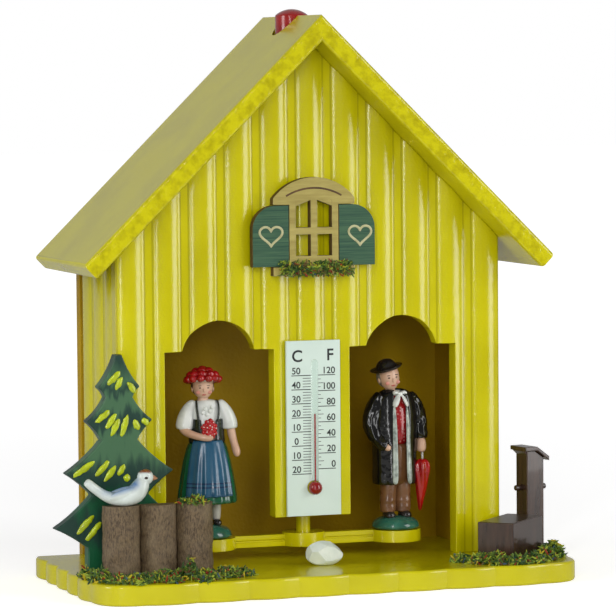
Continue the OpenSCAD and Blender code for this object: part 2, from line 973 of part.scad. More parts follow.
module man_figure() {
  waist_z = 31;
  collar_z = 42.5;
  head = [-1.8, -0.3, 48.6];
  hat_lean = -15;
  hat_z = 50.6;
  coat = [
    [6.6, 14.4], [6.6, 20], [5.6, waist_z], [6, 38], [4.8, collar_z],
    [2, collar_z + 1.6], [1.9, head.z - 2]
  ];
  hat = [[5, 0], [5.2, 0.5], [3.8, 1.2], [3.5, 3.2], [2.4, 4.4]];
  shoulder = [shoulder_w - 1.2, 0, 41];
  elbow = [shoulder_w + 2.4, 0, 34.4];
  hands = [[-6, -4.4, 27], [8.4, -2, 26]];
  sleeve_r = [2.4, 2.1, 1.5];
  rolled_cloth = [[8.5, -2.8, 20.8], [7.5, -2.8, 6]];
  cloth_r = [2.6, 0.7];
  color([0.10, 0.10, 0.11])
    translate([disc_x, pivot_y, disc_top]) {
      figure_legs(20, 2.5, 2.6);
      turned(coat);
      translate(head)
        sphere(head_r, $fn = 24);
      translate([head.x, 0, hat_z])
        rotate([0, hat_lean, 0])
          turned(hat);
      for (i = [0, 1]) {
        side = 2 * i - 1;
        limb([side * shoulder.x, shoulder.y, shoulder.z], sleeve_r[0],
          [side * elbow.x, elbow.y, elbow.z], sleeve_r[1]);
        limb([side * elbow.x, elbow.y, elbow.z], sleeve_r[1], hands[i], sleeve_r[2]);
      }
      limb(hands[1], sleeve_r[2], rolled_cloth[0], cloth_r[0]);
      limb(rolled_cloth[0], cloth_r[0], rolled_cloth[1], cloth_r[1]);
    }
}

base_plate();
front_wall();
left_wall();
right_wall();
back_panel();
panel_nails();
ceiling_board();
guide_bush();
left_roof();
right_roof();
ridge_block();
gut_string();
thermometer_card();
thermometer_tube();
thermometer_liquid();
window_frame();
left_shutter();
right_shutter();
window_moss();
fir_tree();
log_fence();
log_moss();
bird();
well_trough();
well_post();
well_cap();
well_spout();
pebble();
moss_left();
moss_right();
chimney_knob();
knob_collar();
beam();
stem();
woman_figure();
man_figure();
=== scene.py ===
import math
import random

import bmesh
import bpy
from mathutils import Matrix, Vector, noise


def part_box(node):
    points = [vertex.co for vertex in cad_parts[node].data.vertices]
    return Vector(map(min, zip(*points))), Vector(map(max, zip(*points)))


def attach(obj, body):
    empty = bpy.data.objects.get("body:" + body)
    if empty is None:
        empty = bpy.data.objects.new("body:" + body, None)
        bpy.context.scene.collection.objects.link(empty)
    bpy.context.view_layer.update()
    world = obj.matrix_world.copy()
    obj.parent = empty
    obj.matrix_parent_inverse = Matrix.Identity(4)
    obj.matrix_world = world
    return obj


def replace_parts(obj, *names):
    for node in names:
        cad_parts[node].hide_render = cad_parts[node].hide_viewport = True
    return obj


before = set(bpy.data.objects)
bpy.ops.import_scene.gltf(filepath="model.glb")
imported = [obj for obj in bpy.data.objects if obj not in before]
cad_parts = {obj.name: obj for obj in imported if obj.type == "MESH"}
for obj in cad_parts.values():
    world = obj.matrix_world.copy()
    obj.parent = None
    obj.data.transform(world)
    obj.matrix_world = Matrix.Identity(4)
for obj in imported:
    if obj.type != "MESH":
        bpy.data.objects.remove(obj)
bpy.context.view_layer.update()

# White table, soft lamps and the camera: the house stands at the front of a white table in a dim room,
# between a broad soft lamp on its right and narrower ones on its left, with a fill in front.
# The camera looks from its left, a little above the window.
MM = 0.001
WHITE = (1, 1, 1, 1)
scene = bpy.context.scene
scene.view_settings.view_transform = "Standard"


def feed(tree, node, inputs):
    """Links each named input of a shader node to a socket, or sets it to a value."""
    for key, value in dict(inputs).items():
        if isinstance(value, bpy.types.NodeSocket):
            tree.links.new(value, node.inputs[key])
        else:
            node.inputs[key].default_value = value


def add(tree, kind, inputs=(), **settings):
    """Adds a shader node with its settings and its inputs."""
    made = tree.nodes.new(kind)
    for name, value in settings.items():
        setattr(made, name, value)
    feed(tree, made, inputs)
    return made


def calc(tree, operation, *values):
    """The result of one operation on numbers or sockets."""
    return add(tree, "ShaderNodeMath", enumerate(values), operation=operation).outputs[0]


def graded(tree, value, low, high, first=0.0, last=1.0):
    """Runs from a first to a last number while a value runs from low to high."""
    return add(tree, "ShaderNodeMapRange", {
        "Value": value, "From Min": low, "From Max": high, "To Min": first, "To Max": last,
    }).outputs[0]


def object_place(tree):
    """The place of a point on its object, in metres."""
    return add(tree, "ShaderNodeTexCoord").outputs["Object"]


def new_material(name, inputs=()):
    """A material with its node tree and its shader, on which some plain inputs are set."""
    made = bpy.data.materials.new(name)
    made.use_nodes = True
    tree = made.node_tree
    shader = tree.nodes["Principled BSDF"]
    feed(tree, shader, inputs)
    return made, tree, shader


def share_of_white(tree):
    """How much of the white room a ray sees: all from the camera and through glass, a little in gloss."""
    in_gloss = 0.12
    ray = add(tree, "ShaderNodeLightPath").outputs
    mirrored = calc(tree, "MULTIPLY", ray["Is Glossy Ray"], in_gloss)
    clear = calc(tree, "MAXIMUM", ray["Is Camera Ray"], ray["Is Transmission Ray"])
    return calc(tree, "MAXIMUM", mirrored, clear)


def set_up_table():
    """A white table that looks white all over and still takes the shadow of the house."""
    half_size, front_edge = 3, -0.22
    near, far, near_glow, far_glow = 0.2, 1.3, 0.58, 0.92
    bm = bmesh.new()
    bmesh.ops.create_grid(bm, x_segments=1, y_segments=1, size=half_size,
                          matrix=Matrix.Translation((0, front_edge + half_size, 0)))
    mesh = bpy.data.meshes.new("table")
    bm.to_mesh(mesh)
    bm.free()
    table = bpy.data.objects.new("table", mesh)
    scene.collection.objects.link(table)
    paper, tree, shader = new_material("white_paper", {"Base Color": (0.9, 0.9, 0.9, 1), "Roughness": 0.9})
    away = add(tree, "ShaderNodeVectorMath", {0: object_place(tree)}, operation="LENGTH").outputs["Value"]
    level = graded(tree, away, near, far, near_glow, far_glow)
    strength = calc(tree, "MULTIPLY", level, share_of_white(tree))
    glow = add(tree, "ShaderNodeEmission", {"Color": WHITE, "Strength": strength})
    both = add(tree, "ShaderNodeAddShader", {0: shader.outputs[0], 1: glow.outputs[0]})
    feed(tree, tree.nodes["Material Output"], {"Surface": both.outputs[0]})
    mesh.materials.append(paper)


def set_up_sky():
    """White to the camera, and to the rest brighter behind the house than in front of it."""
    front, back, front_level, back_level, white_level = -0.3, 0.8, 0.05, 0.36, 1.0
    world = bpy.data.worlds.new("white_room")
    world.use_nodes = True
    scene.world = world
    tree = world.node_tree
    way = add(tree, "ShaderNodeSeparateXYZ", {0: add(tree, "ShaderNodeTexCoord").outputs["Generated"]})
    room = graded(tree, way.outputs["Y"], front, back, front_level, back_level)
    level = graded(tree, share_of_white(tree), 0.0, 1.0, room, white_level)
    feed(tree, tree.nodes["Background"], {"Color": WHITE, "Strength": level})


def add_lamp(name, place, width, height, watts, mirrored=True):
    """A soft lamp aimed at the house. It shows in gloss unless it is only a fill, and never through glass."""
    heart_of_house = Vector((0, 0, 0.09))
    data = bpy.data.lights.new(name, "AREA")
    data.shape = "RECTANGLE"
    data.size = width
    data.size_y = height
    data.energy = watts
    lamp = bpy.data.objects.new(name, data)
    lamp.location = place
    lamp.rotation_euler = (heart_of_house - Vector(place)).to_track_quat("-Z", "Y").to_euler()
    lamp.visible_glossy = mirrored
    lamp.visible_transmission = False
    scene.collection.objects.link(lamp)


def set_up_camera():
    """The photo's view, as it was fitted to the straight edges of the house."""
    azimuth, elevation, roll = math.radians(-18.51), math.radians(3.711), math.radians(-0.472)
    distance = 1.18007
    target = Vector((-1.22, -4.5, 87.29)) * MM
    turn = Matrix.Rotation(azimuth, 4, "Z") @ Matrix.Rotation(math.pi / 2 - elevation, 4, "X")
    data = bpy.data.cameras.new("camera")
    data.sensor_width = 36
    data.lens = 217.24
    data.clip_end = 20
    camera = bpy.data.objects.new("camera", data)
    camera.matrix_world = (
        Matrix.Translation(target) @ turn
        @ Matrix.Translation((0, 0, distance)) @ Matrix.Rotation(roll, 4, "Z")
    )
    scene.collection.objects.link(camera)
    scene.camera = camera


set_up_table()
set_up_sky()
add_lamp("right_lamp", (1.04, -0.94, 0.39), width=0.55, height=1.4, watts=11)
add_lamp("left_strip", (-0.72, -1.20, 0.39), width=0.10, height=1.4, watts=5.5)
add_lamp("left_lamp", (-1.38, -0.24, 0.35), width=0.5, height=1.0, watts=9)
add_lamp("front_fill", (-0.20, -1.50, 0.50), width=0.8, height=0.8, watts=8.3, mirrored=False)
set_up_camera()


# Base plate and walls: beech boards, the base milled with a scalloped edge and the walls with a row of
# round planks, glued together and sprayed with thick yellow lacquer that rounds every edge.
# Inside, the room's faces take a darker brown lacquer as painted shade, and the back panel is nailed on with
# small steel pins.
def new_group(name, inputs, outputs):
    """A node group with the sockets of its inputs, and its output node."""
    group = bpy.data.node_groups.new(name, "ShaderNodeTree")
    for label, kind, value in inputs:
        group.interface.new_socket(label, in_out="INPUT", socket_type=kind).default_value = value
    for label, kind in outputs:
        group.interface.new_socket(label, in_out="OUTPUT", socket_type=kind)
    return group, add(group, "NodeGroupInput").outputs, add(group, "NodeGroupOutput")


def mixed(tree, factor, first, second, blend="MIX"):
    """A mix of two colours, for which the node has the sockets 6 and 7 and the output 2."""
    sockets = {0: factor, 6: first, 7: second}
    return add(tree, "ShaderNodeMix", sockets, data_type="RGBA", blend_type=blend).outputs[2]


def clouds(tree, place, scale=1.0, detail=2.0, roughness=0.5):
    """Soft noise over a surface."""
    return add(tree, "ShaderNodeTexNoise", {
        "Vector": place, "Scale": scale, "Detail": detail, "Roughness": roughness,
    }).outputs["Fac"]


def bumped(tree, height, strength, depth, normal=None):
    """A normal bent by a height with a depth in millimetres, on top of another normal if one is given."""
    inputs = {"Strength": strength, "Distance": depth * MM, "Height": height}
    if normal:
        inputs["Normal"] = normal
    return add(tree, "ShaderNodeBump", inputs).outputs[0]


def make_paint_film():
    """A sprayed or brushed film of paint: fine peel, slow pools of thicker colour, and uneven gloss."""
    group, given, result = new_group(
        "paint_film",
        [
            ("Colour", "NodeSocketColor", (1, 1, 1, 1)),
            ("Deep", "NodeSocketColor", (0, 0, 0, 1)),
            ("Pools", "NodeSocketFloat", 50.0),
            ("Grit", "NodeSocketFloat", 700.0),
            ("Peel", "NodeSocketFloat", 0.3),
            ("Gloss Low", "NodeSocketFloat", 0.2),
            ("Gloss High", "NodeSocketFloat", 0.35),
        ],
        [("Colour", "NodeSocketColor"), ("Roughness", "NodeSocketFloat"), ("Normal", "NodeSocketVector")],
    )
    place = object_place(group)
    pool = clouds(group, place, given["Pools"], detail=3.0)
    thick = graded(group, pool, 0.42, 0.72)
    peel = clouds(group, place, given["Grit"], detail=1.0, roughness=0.4)
    feed(group, result, {
        "Colour": mixed(group, thick, given["Colour"], given["Deep"]),
        "Roughness": graded(group, pool, 0.35, 0.7, given["Gloss High"], given["Gloss Low"]),
        "Normal": bumped(group, peel, given["Peel"], depth=0.3),
    })
    return group


paint_film = make_paint_film()


def painted(name, thin, thick, pool, grit, peel, gloss, coat, metallic=0.0, specular=0.5):
    """A paint with its colour where it is thin and thick, its pools and grit per metre, and its gloss."""
    made, tree, shader = new_material(name)
    film = add(tree, "ShaderNodeGroup", {
        "Colour": (*thin, 1), "Deep": (*thick, 1), "Pools": pool, "Grit": grit, "Peel": peel,
        "Gloss Low": gloss[0], "Gloss High": gloss[1],
    }, node_tree=paint_film).outputs
    feed(tree, shader, {
        "Base Color": film["Colour"], "Roughness": film["Roughness"], "Normal": film["Normal"],
        "Coat Weight": coat, "Coat Roughness": 0.08, "Metallic": metallic, "Specular IOR Level": specular,
    })
    return made


def overpaint(paint, mask, colour, blend="MIX"):
    """Lays a second colour over a paint, as far as a mask says."""
    tree, shader = paint.node_tree, paint.node_tree.nodes["Principled BSDF"]
    film = shader.inputs["Base Color"].links[0].from_socket
    feed(tree, shader, {"Base Color": mixed(tree, mask, film, colour, blend)})


def object_axis(tree, axis):
    """The place of a point on its object along one axis, in metres."""
    return add(tree, "ShaderNodeSeparateXYZ", {0: object_place(tree)}).outputs[axis]


def stretched(tree, scale):
    """The place of a point on its object, with a scale for each axis."""
    factors = {0: object_place(tree), 1: scale}
    return add(tree, "ShaderNodeVectorMath", factors, operation="MULTIPLY").outputs[0]


def box_mm(node):
    """Lowest and highest corner of a node of the frame, in millimetres."""
    return [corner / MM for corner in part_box(node)]


def add_piece(name, bm, materials, body, smooth_below=40, rounds=0):
    """Makes a piece of a mesh in millimetres, with its materials and its body."""
    bmesh.ops.scale(bm, vec=(MM, MM, MM), verts=bm.verts)
    mesh = bpy.data.meshes.new(name)
    bm.to_mesh(mesh)
    bm.free()
    mesh.polygons.foreach_set("use_smooth", [True] * len(mesh.polygons))
    for material in materials:
        mesh.materials.append(material)
    piece = bpy.data.objects.new(name, mesh)
    scene.collection.objects.link(piece)
    if rounds:
        finish = piece.modifiers.new("rounded", "SUBSURF")
        finish.levels = finish.render_levels = rounds
    else:
        mesh.set_sharp_from_angle(angle=math.radians(smooth_below))
        piece.modifiers.new("even_shading", "WEIGHTED_NORMAL").keep_sharp = True
    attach(piece, body)
    return piece


def rounded_copy(node, width, segments=3, sharp=50, flat_merged=True, chosen=lambda edge: True):
    """A node's mesh in millimetres, with its chosen sharp edges rounded and its flat faces merged."""
    seam, flat = 0.003, math.radians(0.5)
    bm = bmesh.new()
    bm.from_mesh(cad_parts[node].data)
    bmesh.ops.scale(bm, vec=(1 / MM, 1 / MM, 1 / MM), verts=bm.verts)
    bmesh.ops.remove_doubles(bm, verts=bm.verts, dist=seam)
    if flat_merged:
        bmesh.ops.dissolve_limit(bm, angle_limit=flat, verts=bm.verts, edges=bm.edges)
    edges = [e for e in bm.edges if e.is_manifold and e.calc_face_angle() > math.radians(sharp) and chosen(e)]
    bmesh.ops.bevel(bm, geom=edges, offset=width, offset_type="OFFSET", affect="EDGES", segments=segments,
                    profile=0.5, material=-1, clamp_overlap=False)
    return bm


def add_rounded(node, width, material, body, slot, **how):
    """Replaces a node by a copy with rounded edges."""
    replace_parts(add_piece(node + "_finished", rounded_copy(node, width, **how), [material], body), node)


def give_second_material(bm, picks):
    """Gives the second material to the faces whose normal is picked, and the first to the rest."""
    for face in bm.faces:
        face.material_index = 1 if picks(face.normal) else 0


def bow(a, b, sag, steps=5):
    """Points from a to just before b, bowed sideways from the straight line by a sag."""
    a, b = Vector(a), Vector(b)
    across = Vector((a.y - b.y, b.x - a.x)).normalized()
    return [a.lerp(b, i / steps) + across * sag * 4 * (i / steps) * (1 - i / steps) for i in range(steps)]


def draw_board(bm, corners, depth):
    """Draws a flat outline and extrudes it by a vector."""
    face = bm.faces.new([bm.verts.new(corner) for corner in corners])
    grown = bmesh.ops.extrude_face_region(bm, geom=[face])["geom"]
    bmesh.ops.translate(bm, vec=depth, verts=[g for g in grown if isinstance(g, bmesh.types.BMVert)])
    bmesh.ops.recalc_face_normals(bm, faces=bm.faces)


def round_rims(bm, width, segments):
    """Rounds the edges between the faces of a board and its rim."""
    square = math.radians(80)
    rims = [e for e in bm.edges if e.calc_face_angle(0) > square]
    bmesh.ops.bevel(bm, geom=rims, offset=width, affect="EDGES", segments=segments, profile=0.5, material=-1)


def add_base():
    """The base plate, with eight scallops along its front, five along each side and two round corners."""
    low, high = box_mm("base_plate")
    corner, corner_sag, wave = 16, 5.7, 1.5
    front_waves, side_waves = 8, 5
    front, side = high.x - low.x - 2 * corner, low.y + corner - high.y
    side_turns = [high.y + side * i / side_waves for i in range(side_waves + 1)]
    turns = [(low.x + wave, y) for y in side_turns]
    turns += [(low.x + corner + front * i / front_waves, low.y + wave) for i in range(front_waves + 1)]
    turns += [(high.x - wave, y) for y in reversed(side_turns)]
    outline = []
    for a, b in zip(turns, turns[1:]):
        at_corner = a[0] != b[0] and a[1] != b[1]
        outline += bow(a, b, -corner_sag if at_corner else -wave, 10 if at_corner else 6)
    outline.append(Vector(turns[-1]))
    bm = bmesh.new()
    draw_board(bm, [(p.x, p.y, low.z) for p in outline], (0, 0, high.z - low.z))
    round_rims(bm, 0.9, segments=5)
    base = add_piece("base_board", bm, [yellow_lacquer], "house", smooth_below=22)
    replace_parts(base, "base_plate")


def make_wall_lacquer(name, axis, middle, length, planks):
    """The lacquer of a planked wall, with painted shade in the creases beside each plank, over faint marks of
    the saw.
    """
    groove, end = 2.7, 0.3
    crease_core, crease_width, crease_shade_depth = 0.10, 0.42, 0.45
    pitch = (length + groove - 2 * end) / planks
    made = painted(name, **YELLOW)
    tree, shader = made.node_tree, made.node_tree.nodes["Principled BSDF"]
    from_middle = calc(tree, "SUBTRACT", object_axis(tree, axis), middle * MM)
    from_crown = calc(tree, "PINGPONG", from_middle, pitch / 2 * MM)
    past_edge = calc(tree, "SUBTRACT", from_crown, (pitch - groove) / 2 * MM)
    off_crease = calc(tree, "ABSOLUTE", past_edge)
    # Painted shade: a thin darker line along the crease beside each plank.
    crease_shade = graded(tree, off_crease, crease_core * MM, crease_width * MM, crease_shade_depth, 0.0)
    overpaint(made, crease_shade, (0.19, 0.155, 0.0005, 1))
    saw_marks = clouds(tree, stretched(tree, (260, 260, 1900)))
    peel = shader.inputs["Normal"].links[0].from_socket
    feed(tree, shader, {"Normal": bumped(tree, saw_marks, 0.22, depth=0.2, normal=peel)})
    return made


YELLOW = dict(thin=(0.60, 0.545, 0.002), thick=(0.52, 0.465, 0.001),
              pool=40, grit=1100, peel=0.2, gloss=(0.15, 0.23), coat=0.15)
yellow_lacquer = painted("yellow_lacquer", **YELLOW)
# Painted shade: a darker brown copy of the lacquer for the faces inside the room.
room_shade_brown = painted("room_shade_brown", (0.40, 0.25, 0.003), (0.30, 0.175, 0.002),
                     pool=30, grit=900, peel=0.5, gloss=(0.45, 0.6), coat=0, specular=0.25)
nail_steel = painted("nail_steel", (0.55, 0.55, 0.54), (0.38, 0.37, 0.35),
                     pool=900, grit=2500, peel=0.2, gloss=(0.25, 0.45), coat=0, metallic=1.0)

add_base()
wall_low, wall_high = box_mm("front_wall")
front_lacquer = make_wall_lacquer("front_wall_lacquer", "X", 0, wall_high.x - wall_low.x, planks=11)
wall_low, wall_high = box_mm("left_wall")
side_lacquer = make_wall_lacquer(
    "side_wall_lacquer", "Y", (wall_low.y + wall_high.y) / 2, wall_high.y - wall_low.y, planks=3)
for board, inward, lacquer in (
    ("front_wall", (0, 1, 0), front_lacquer),
    ("left_wall", (1, 0, 0), side_lacquer),
    ("right_wall", (-1, 0, 0), side_lacquer),
):
    wall_mesh = rounded_copy(board, 0.28)
    # The faces that look into the room take the painted shade.
    give_second_material(wall_mesh, lambda normal: normal.dot(inward) > 0.9)
    wall = add_piece(board + "_finished", wall_mesh, [lacquer, room_shade_brown], "house")
    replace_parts(wall, board)
# The back panel and the ceiling board stand in the room, so all of their faces take the painted shade.
for board in ("back_panel", "ceiling_board"):
    add_rounded(board, 0.4, room_shade_brown, "house", "yellow_lacquer")
add_rounded("panel_nails", 0.2, nail_steel, "house", "steel")


# Roof boards: two beech boards, mitred along the ridge and glued, bored for the chimney knob, and
# lacquered with the house. The spray lies smooth on their wide slopes and mottled on the end grain.
def is_outer_edge(edge):
    """Whether an edge is a long one of a roof board, and not the one at the mitre."""
    shortest, ridge_half = 20, 0.1
    return edge.calc_length() > shortest and max(abs(v.co.x) for v in edge.verts) > ridge_half


end_lacquer = painted("end_grain_lacquer", (0.62, 0.565, 0.002), (0.43, 0.375, 0.001),
                      pool=420, grit=650, peel=0.75, gloss=(0.12, 0.2), coat=0.15)
for board in ("left_roof", "right_roof"):
    roof_mesh = rounded_copy(board, 1.2, segments=5, chosen=is_outer_edge)
    give_second_material(roof_mesh, lambda normal: abs(normal.y) > 0.5)
    roof = add_piece(board + "_finished", roof_mesh, [yellow_lacquer, end_lacquer], "house")
    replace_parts(roof, board)


# Adjuster: a turned beech peg in red lacquer that stands in the ridge as a chimney. Its spindle turns
# in a sawn block under the ridge, a wooden collar keeps it there, and the twisted gut hangs from it.
def make_grain():
    """Wood fibres that run along one axis: long streaks of early and late wood, and fine pores."""
    group, given, result = new_group(
        "grain",
        [
            ("Light", "NodeSocketColor", (1, 1, 1, 1)),
            ("Dark", "NodeSocketColor", (0, 0, 0, 1)),
            ("Stretch", "NodeSocketVector", (400.0, 400.0, 40.0)),
        ],
        [("Colour", "NodeSocketColor"), ("Height", "NodeSocketFloat")],
    )
    fibre = stretched(group, given["Stretch"])
    late_wood = graded(group, clouds(group, fibre, detail=4.0, roughness=0.6), 0.35, 0.68)
    feed(group, result, {
        "Colour": mixed(group, late_wood, given["Light"], given["Dark"]),
        "Height": clouds(group, fibre, scale=3.7),
    })
    return group


grain = make_grain()


def wooden(name, light, dark, stretch, roughness=0.6, relief=0.3, coat=0.0, specular=0.5):
    """A bare or stained wood, with its fibres stretched along the axis of the smallest number."""
    made, tree, shader = new_material(name, {
        "Roughness": roughness, "Coat Weight": coat, "Specular IOR Level": specular,
    })
    fibres = add(tree, "ShaderNodeGroup", {
        "Light": (*light, 1), "Dark": (*dark, 1), "Stretch": stretch,
    }, node_tree=grain).outputs
    feed(tree, shader, {
        "Base Color": fibres["Colour"], "Normal": bumped(tree, fibres["Height"], relief, depth=0.15),
    })
    return made


def dress(node, material):
    """Gives a hidden node of the frame its material."""
    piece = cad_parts[node]
    piece.data.materials.clear()
    piece.data.materials.append(material)


red_lacquer = painted("red_lacquer", (0.31, 0.010, 0.008), (0.17, 0.003, 0.003),
                      pool=150, grit=900, peel=0.25, gloss=(0.15, 0.25), coat=0.4)
sawn_wood = wooden("sawn_wood", (0.60, 0.44, 0.25), (0.40, 0.26, 0.13), stretch=(500, 60, 500))
gut_twist = painted("gut_twist", (0.60, 0.46, 0.26), (0.42, 0.29, 0.14),
                    pool=1500, grit=2600, peel=0.6, gloss=(0.3, 0.5), coat=0.1)

add_rounded("chimney_knob", 0.35, red_lacquer, "adjuster", "red_lacquer")
add_rounded("ridge_block", 0.25, sawn_wood, "house", "bare_wood")
add_rounded("knob_collar", 0.25, sawn_wood, "adjuster", "bare_wood")
dress("gut_string", gut_twist)


# Beam and stem: one yellow plastic moulding with a hub, two grooved arms and two discs, pressed on a
# turned stem that is guided by a brass bush in the ceiling board.
yellow_plastic = painted("yellow_plastic", (0.62, 0.55, 0.002), (0.55, 0.48, 0.002),
                         pool=90, grit=1100, peel=0.08, gloss=(0.14, 0.22), coat=0.4)
drawn_brass = painted("drawn_brass", (0.68, 0.49, 0.19), (0.50, 0.33, 0.11),
                      pool=300, grit=1800, peel=0.15, gloss=(0.22, 0.38), coat=0, metallic=1.0)

add_rounded("beam", 0.15, yellow_plastic, "beam", "yellow_plastic", flat_merged=False)
add_rounded("stem", 0.3, yellow_plastic, "beam", "yellow_plastic")
add_rounded("guide_bush", 0.15, drawn_brass, "house", "brass")


# Figures: hard mouldings that are painted by hand in gloss colours and glued on the beam's discs.
# Each stands on a green mound and is turned a little on its disc.
FIGURE_TURN = Matrix.Rotation(math.radians(-9), 4, "Z")
DISC_THICKNESS = 3.8
beam_low, beam_high = box_mm("beam")
disc_top = beam_low.z + DISC_THICKNESS
pivot_y = (beam_low.y + beam_high.y) / 2


def leaned(centre, lean, half):
    """The place of a form with three half sizes about its centre, leaned sideways by degrees."""
    turn = Matrix.Rotation(math.radians(lean), 4, "Y")
    return Matrix.Translation(centre) @ turn @ Matrix.Diagonal((*half, 1))


def oval(centre, half_w, half_d):
    """The place of an upright form's ring, with its half width and half depth."""
    return leaned(centre, 0.0, (half_w, half_d, 1))


def along(path, flat=1.0):
    """Ring places square to a path of points, each given with its radius."""
    places = []
    turn, last = None, None
    for i, (point, radius) in enumerate(path):
        before, after = Vector(path[max(i - 1, 0)][0]), Vector(path[min(i + 1, len(path) - 1)][0])
        heading = (after - before).normalized()
        turn = last.rotation_difference(heading) @ turn if last else heading.to_track_quat("Z", "Y")
        last = heading
        ring = Matrix.Translation(point) @ turn.to_matrix().to_4x4()
        places.append(ring @ Matrix.Diagonal((radius, radius * flat, 1, 1)))
    return places


def loft(bm, rings, sides=12, material=0):
    """Draws a closed form through rings."""
    foot, end, last = None, None, None
    made = []
    for ring in rings:
        if foot is None:
            foot = bmesh.ops.create_circle(bm, cap_ends=True, segments=sides, radius=1, matrix=ring)["verts"]
            end = foot[0].link_faces[0]
        else:
            end = bmesh.ops.extrude_discrete_faces(bm, faces=[end])["faces"][0]
            bmesh.ops.transform(bm, matrix=ring @ last.inverted(), verts=end.verts)
        made += end.verts
        last = ring
    open_rim = {e for v in foot for e in v.link_edges if e.is_boundary}
    bmesh.ops.holes_fill(bm, edges=list(open_rim), sides=0)
    faces = list({f for v in made for f in v.link_faces})
    bmesh.ops.recalc_face_normals(bm, faces=faces)
    for face in faces:
        face.material_index = material
    return made


def shell(bm, rings, start, sweep, steps):
    """Draws an open sheet through rings, over a sweep of degrees from a start that counts from the front."""
    angle = math.radians(start)
    first = bm.verts.new((math.sin(angle), -math.cos(angle), 0))
    bmesh.ops.spin(bm, geom=[first], cent=(0, 0, 0), axis=(0, 0, 1), angle=math.radians(sweep), steps=steps)
    bmesh.ops.remove_doubles(bm, verts=bm.verts, dist=1e-5)
    row, edges, last = list(bm.verts), list(bm.edges), Matrix()
    for i, ring in enumerate(rings):
        if i:
            made = bmesh.ops.extrude_edge_only(bm, edges=edges)["geom"]
            row = [g for g in made if isinstance(g, bmesh.types.BMVert)]
            edges = [g for g in made if isinstance(g, bmesh.types.BMEdge)]
        bmesh.ops.transform(bm, matrix=ring @ last.inverted(), verts=row)
        last = ring
    bmesh.ops.recalc_face_normals(bm, faces=bm.faces)


def lump(bm, place, detail, material=0):
    """Draws a ball that a place squeezes, turns and moves."""
    verts = bmesh.ops.create_icosphere(bm, subdivisions=detail, radius=1, matrix=place)["verts"]
    for face in {f for v in verts for f in v.link_faces}:
        face.material_index = material


def blob(bm, centre, half, lean=0.0, detail=3, material=0):
    """Draws a rounded lump with its half sizes and a lean in the plane of the front."""
    lump(bm, leaned(centre, lean, half), detail, material)


def spun(bm, profile, centre=(0, 0, 0), steps=32):
    """Draws a turned form from pairs of radius and height about an upright axis."""
    verts = [bm.verts.new((centre[0] + r, centre[1], centre[2] + h)) for r, h in profile]
    edges = [bm.edges.new(pair) for pair in zip(verts, verts[1:])]
    bmesh.ops.spin(bm, geom=verts + edges, cent=centre, axis=(0, 0, 1), angle=math.tau, steps=steps,
                   use_merge=True)
    bmesh.ops.remove_doubles(bm, verts=bm.verts, dist=1e-4)
    bmesh.ops.recalc_face_normals(bm, faces=bm.faces)


def clamp(share):
    """A share that is kept between nothing and all."""
    return min(max(share, 0), 1)


def pleat(verts, count, depth, low, high):
    """Waves a form's round side in and out, full at the low height and none at the high one."""
    for v in verts:
        share = clamp((high - v.co.z) / (high - low))
        swell = 1 + depth * share * math.cos(count * math.atan2(v.co.y, v.co.x))
        v.co.x *= swell
        v.co.y *= swell


def crumple(bm, height, per_mm):
    """Moves a surface in and out by soft noise of a height, with some waves per millimetre."""
    for v in bm.verts:
        v.co += v.normal * height * noise.noise(v.co * per_mm)


def add_figure_piece(name, bm, materials, place, rounds=1, thickness=0.0):
    """Sets a piece of a figure on its disc and lets it ride on the beam."""
    bmesh.ops.transform(bm, matrix=place @ FIGURE_TURN, verts=bm.verts)
    piece = add_piece(name, bm, materials, "beam", rounds=rounds)
    if thickness:
        sheet = piece.modifiers.new("thickness", "SOLIDIFY")
        sheet.thickness = thickness * MM
        sheet.offset = 0
        sheet.material_offset = len(materials) - 1
        sheet.material_offset_rim = 0
        piece.modifiers.move(len(piece.modifiers) - 1, 0)
    return piece


skin = painted("skin_paint", (0.62, 0.40, 0.28), (0.56, 0.32, 0.21),
               pool=160, grit=1200, peel=0.06, gloss=(0.30, 0.45), coat=0.15)
rose = painted("rose_paint", (0.55, 0.23, 0.17), (0.50, 0.18, 0.13),
               pool=160, grit=1200, peel=0.06, gloss=(0.30, 0.45), coat=0.15)
lip_red = painted("lip_paint", (0.40, 0.07, 0.06), (0.32, 0.05, 0.04),
                  pool=300, grit=1200, peel=0.05, gloss=(0.25, 0.35), coat=0.2)
eye_dark = painted("eye_paint", (0.035, 0.022, 0.016), (0.02, 0.012, 0.01),
                   pool=300, grit=1200, peel=0.05, gloss=(0.15, 0.25), coat=0.4)
mound_green = painted("mound_green", (0.03, 0.15, 0.10), (0.015, 0.085, 0.055),
                      pool=260, grit=700, peel=0.3, gloss=(0.16, 0.28), coat=0.5)
shoe_black = painted("shoe_black", (0.018, 0.014, 0.012), (0.008, 0.007, 0.006),
                     pool=260, grit=900, peel=0.12, gloss=(0.14, 0.24), coat=0.5)


def add_mound(name, place):
    """A low green mound with an uneven top."""
    flat_below, lift, per_mm = 1, 0.3, 0.35
    bm = bmesh.new()
    spun(bm, [(0, 0), (7.6, 0), (7.9, 0.8), (7.5, 2.2), (6.2, 3.4), (4.0, 4.1), (0, 4.4)])
    for v in bm.verts:
        if v.co.z > flat_below:
            v.co.z += lift * noise.noise(v.co * per_mm + place.translation)
    add_figure_piece(name, bm, [mound_green], place)


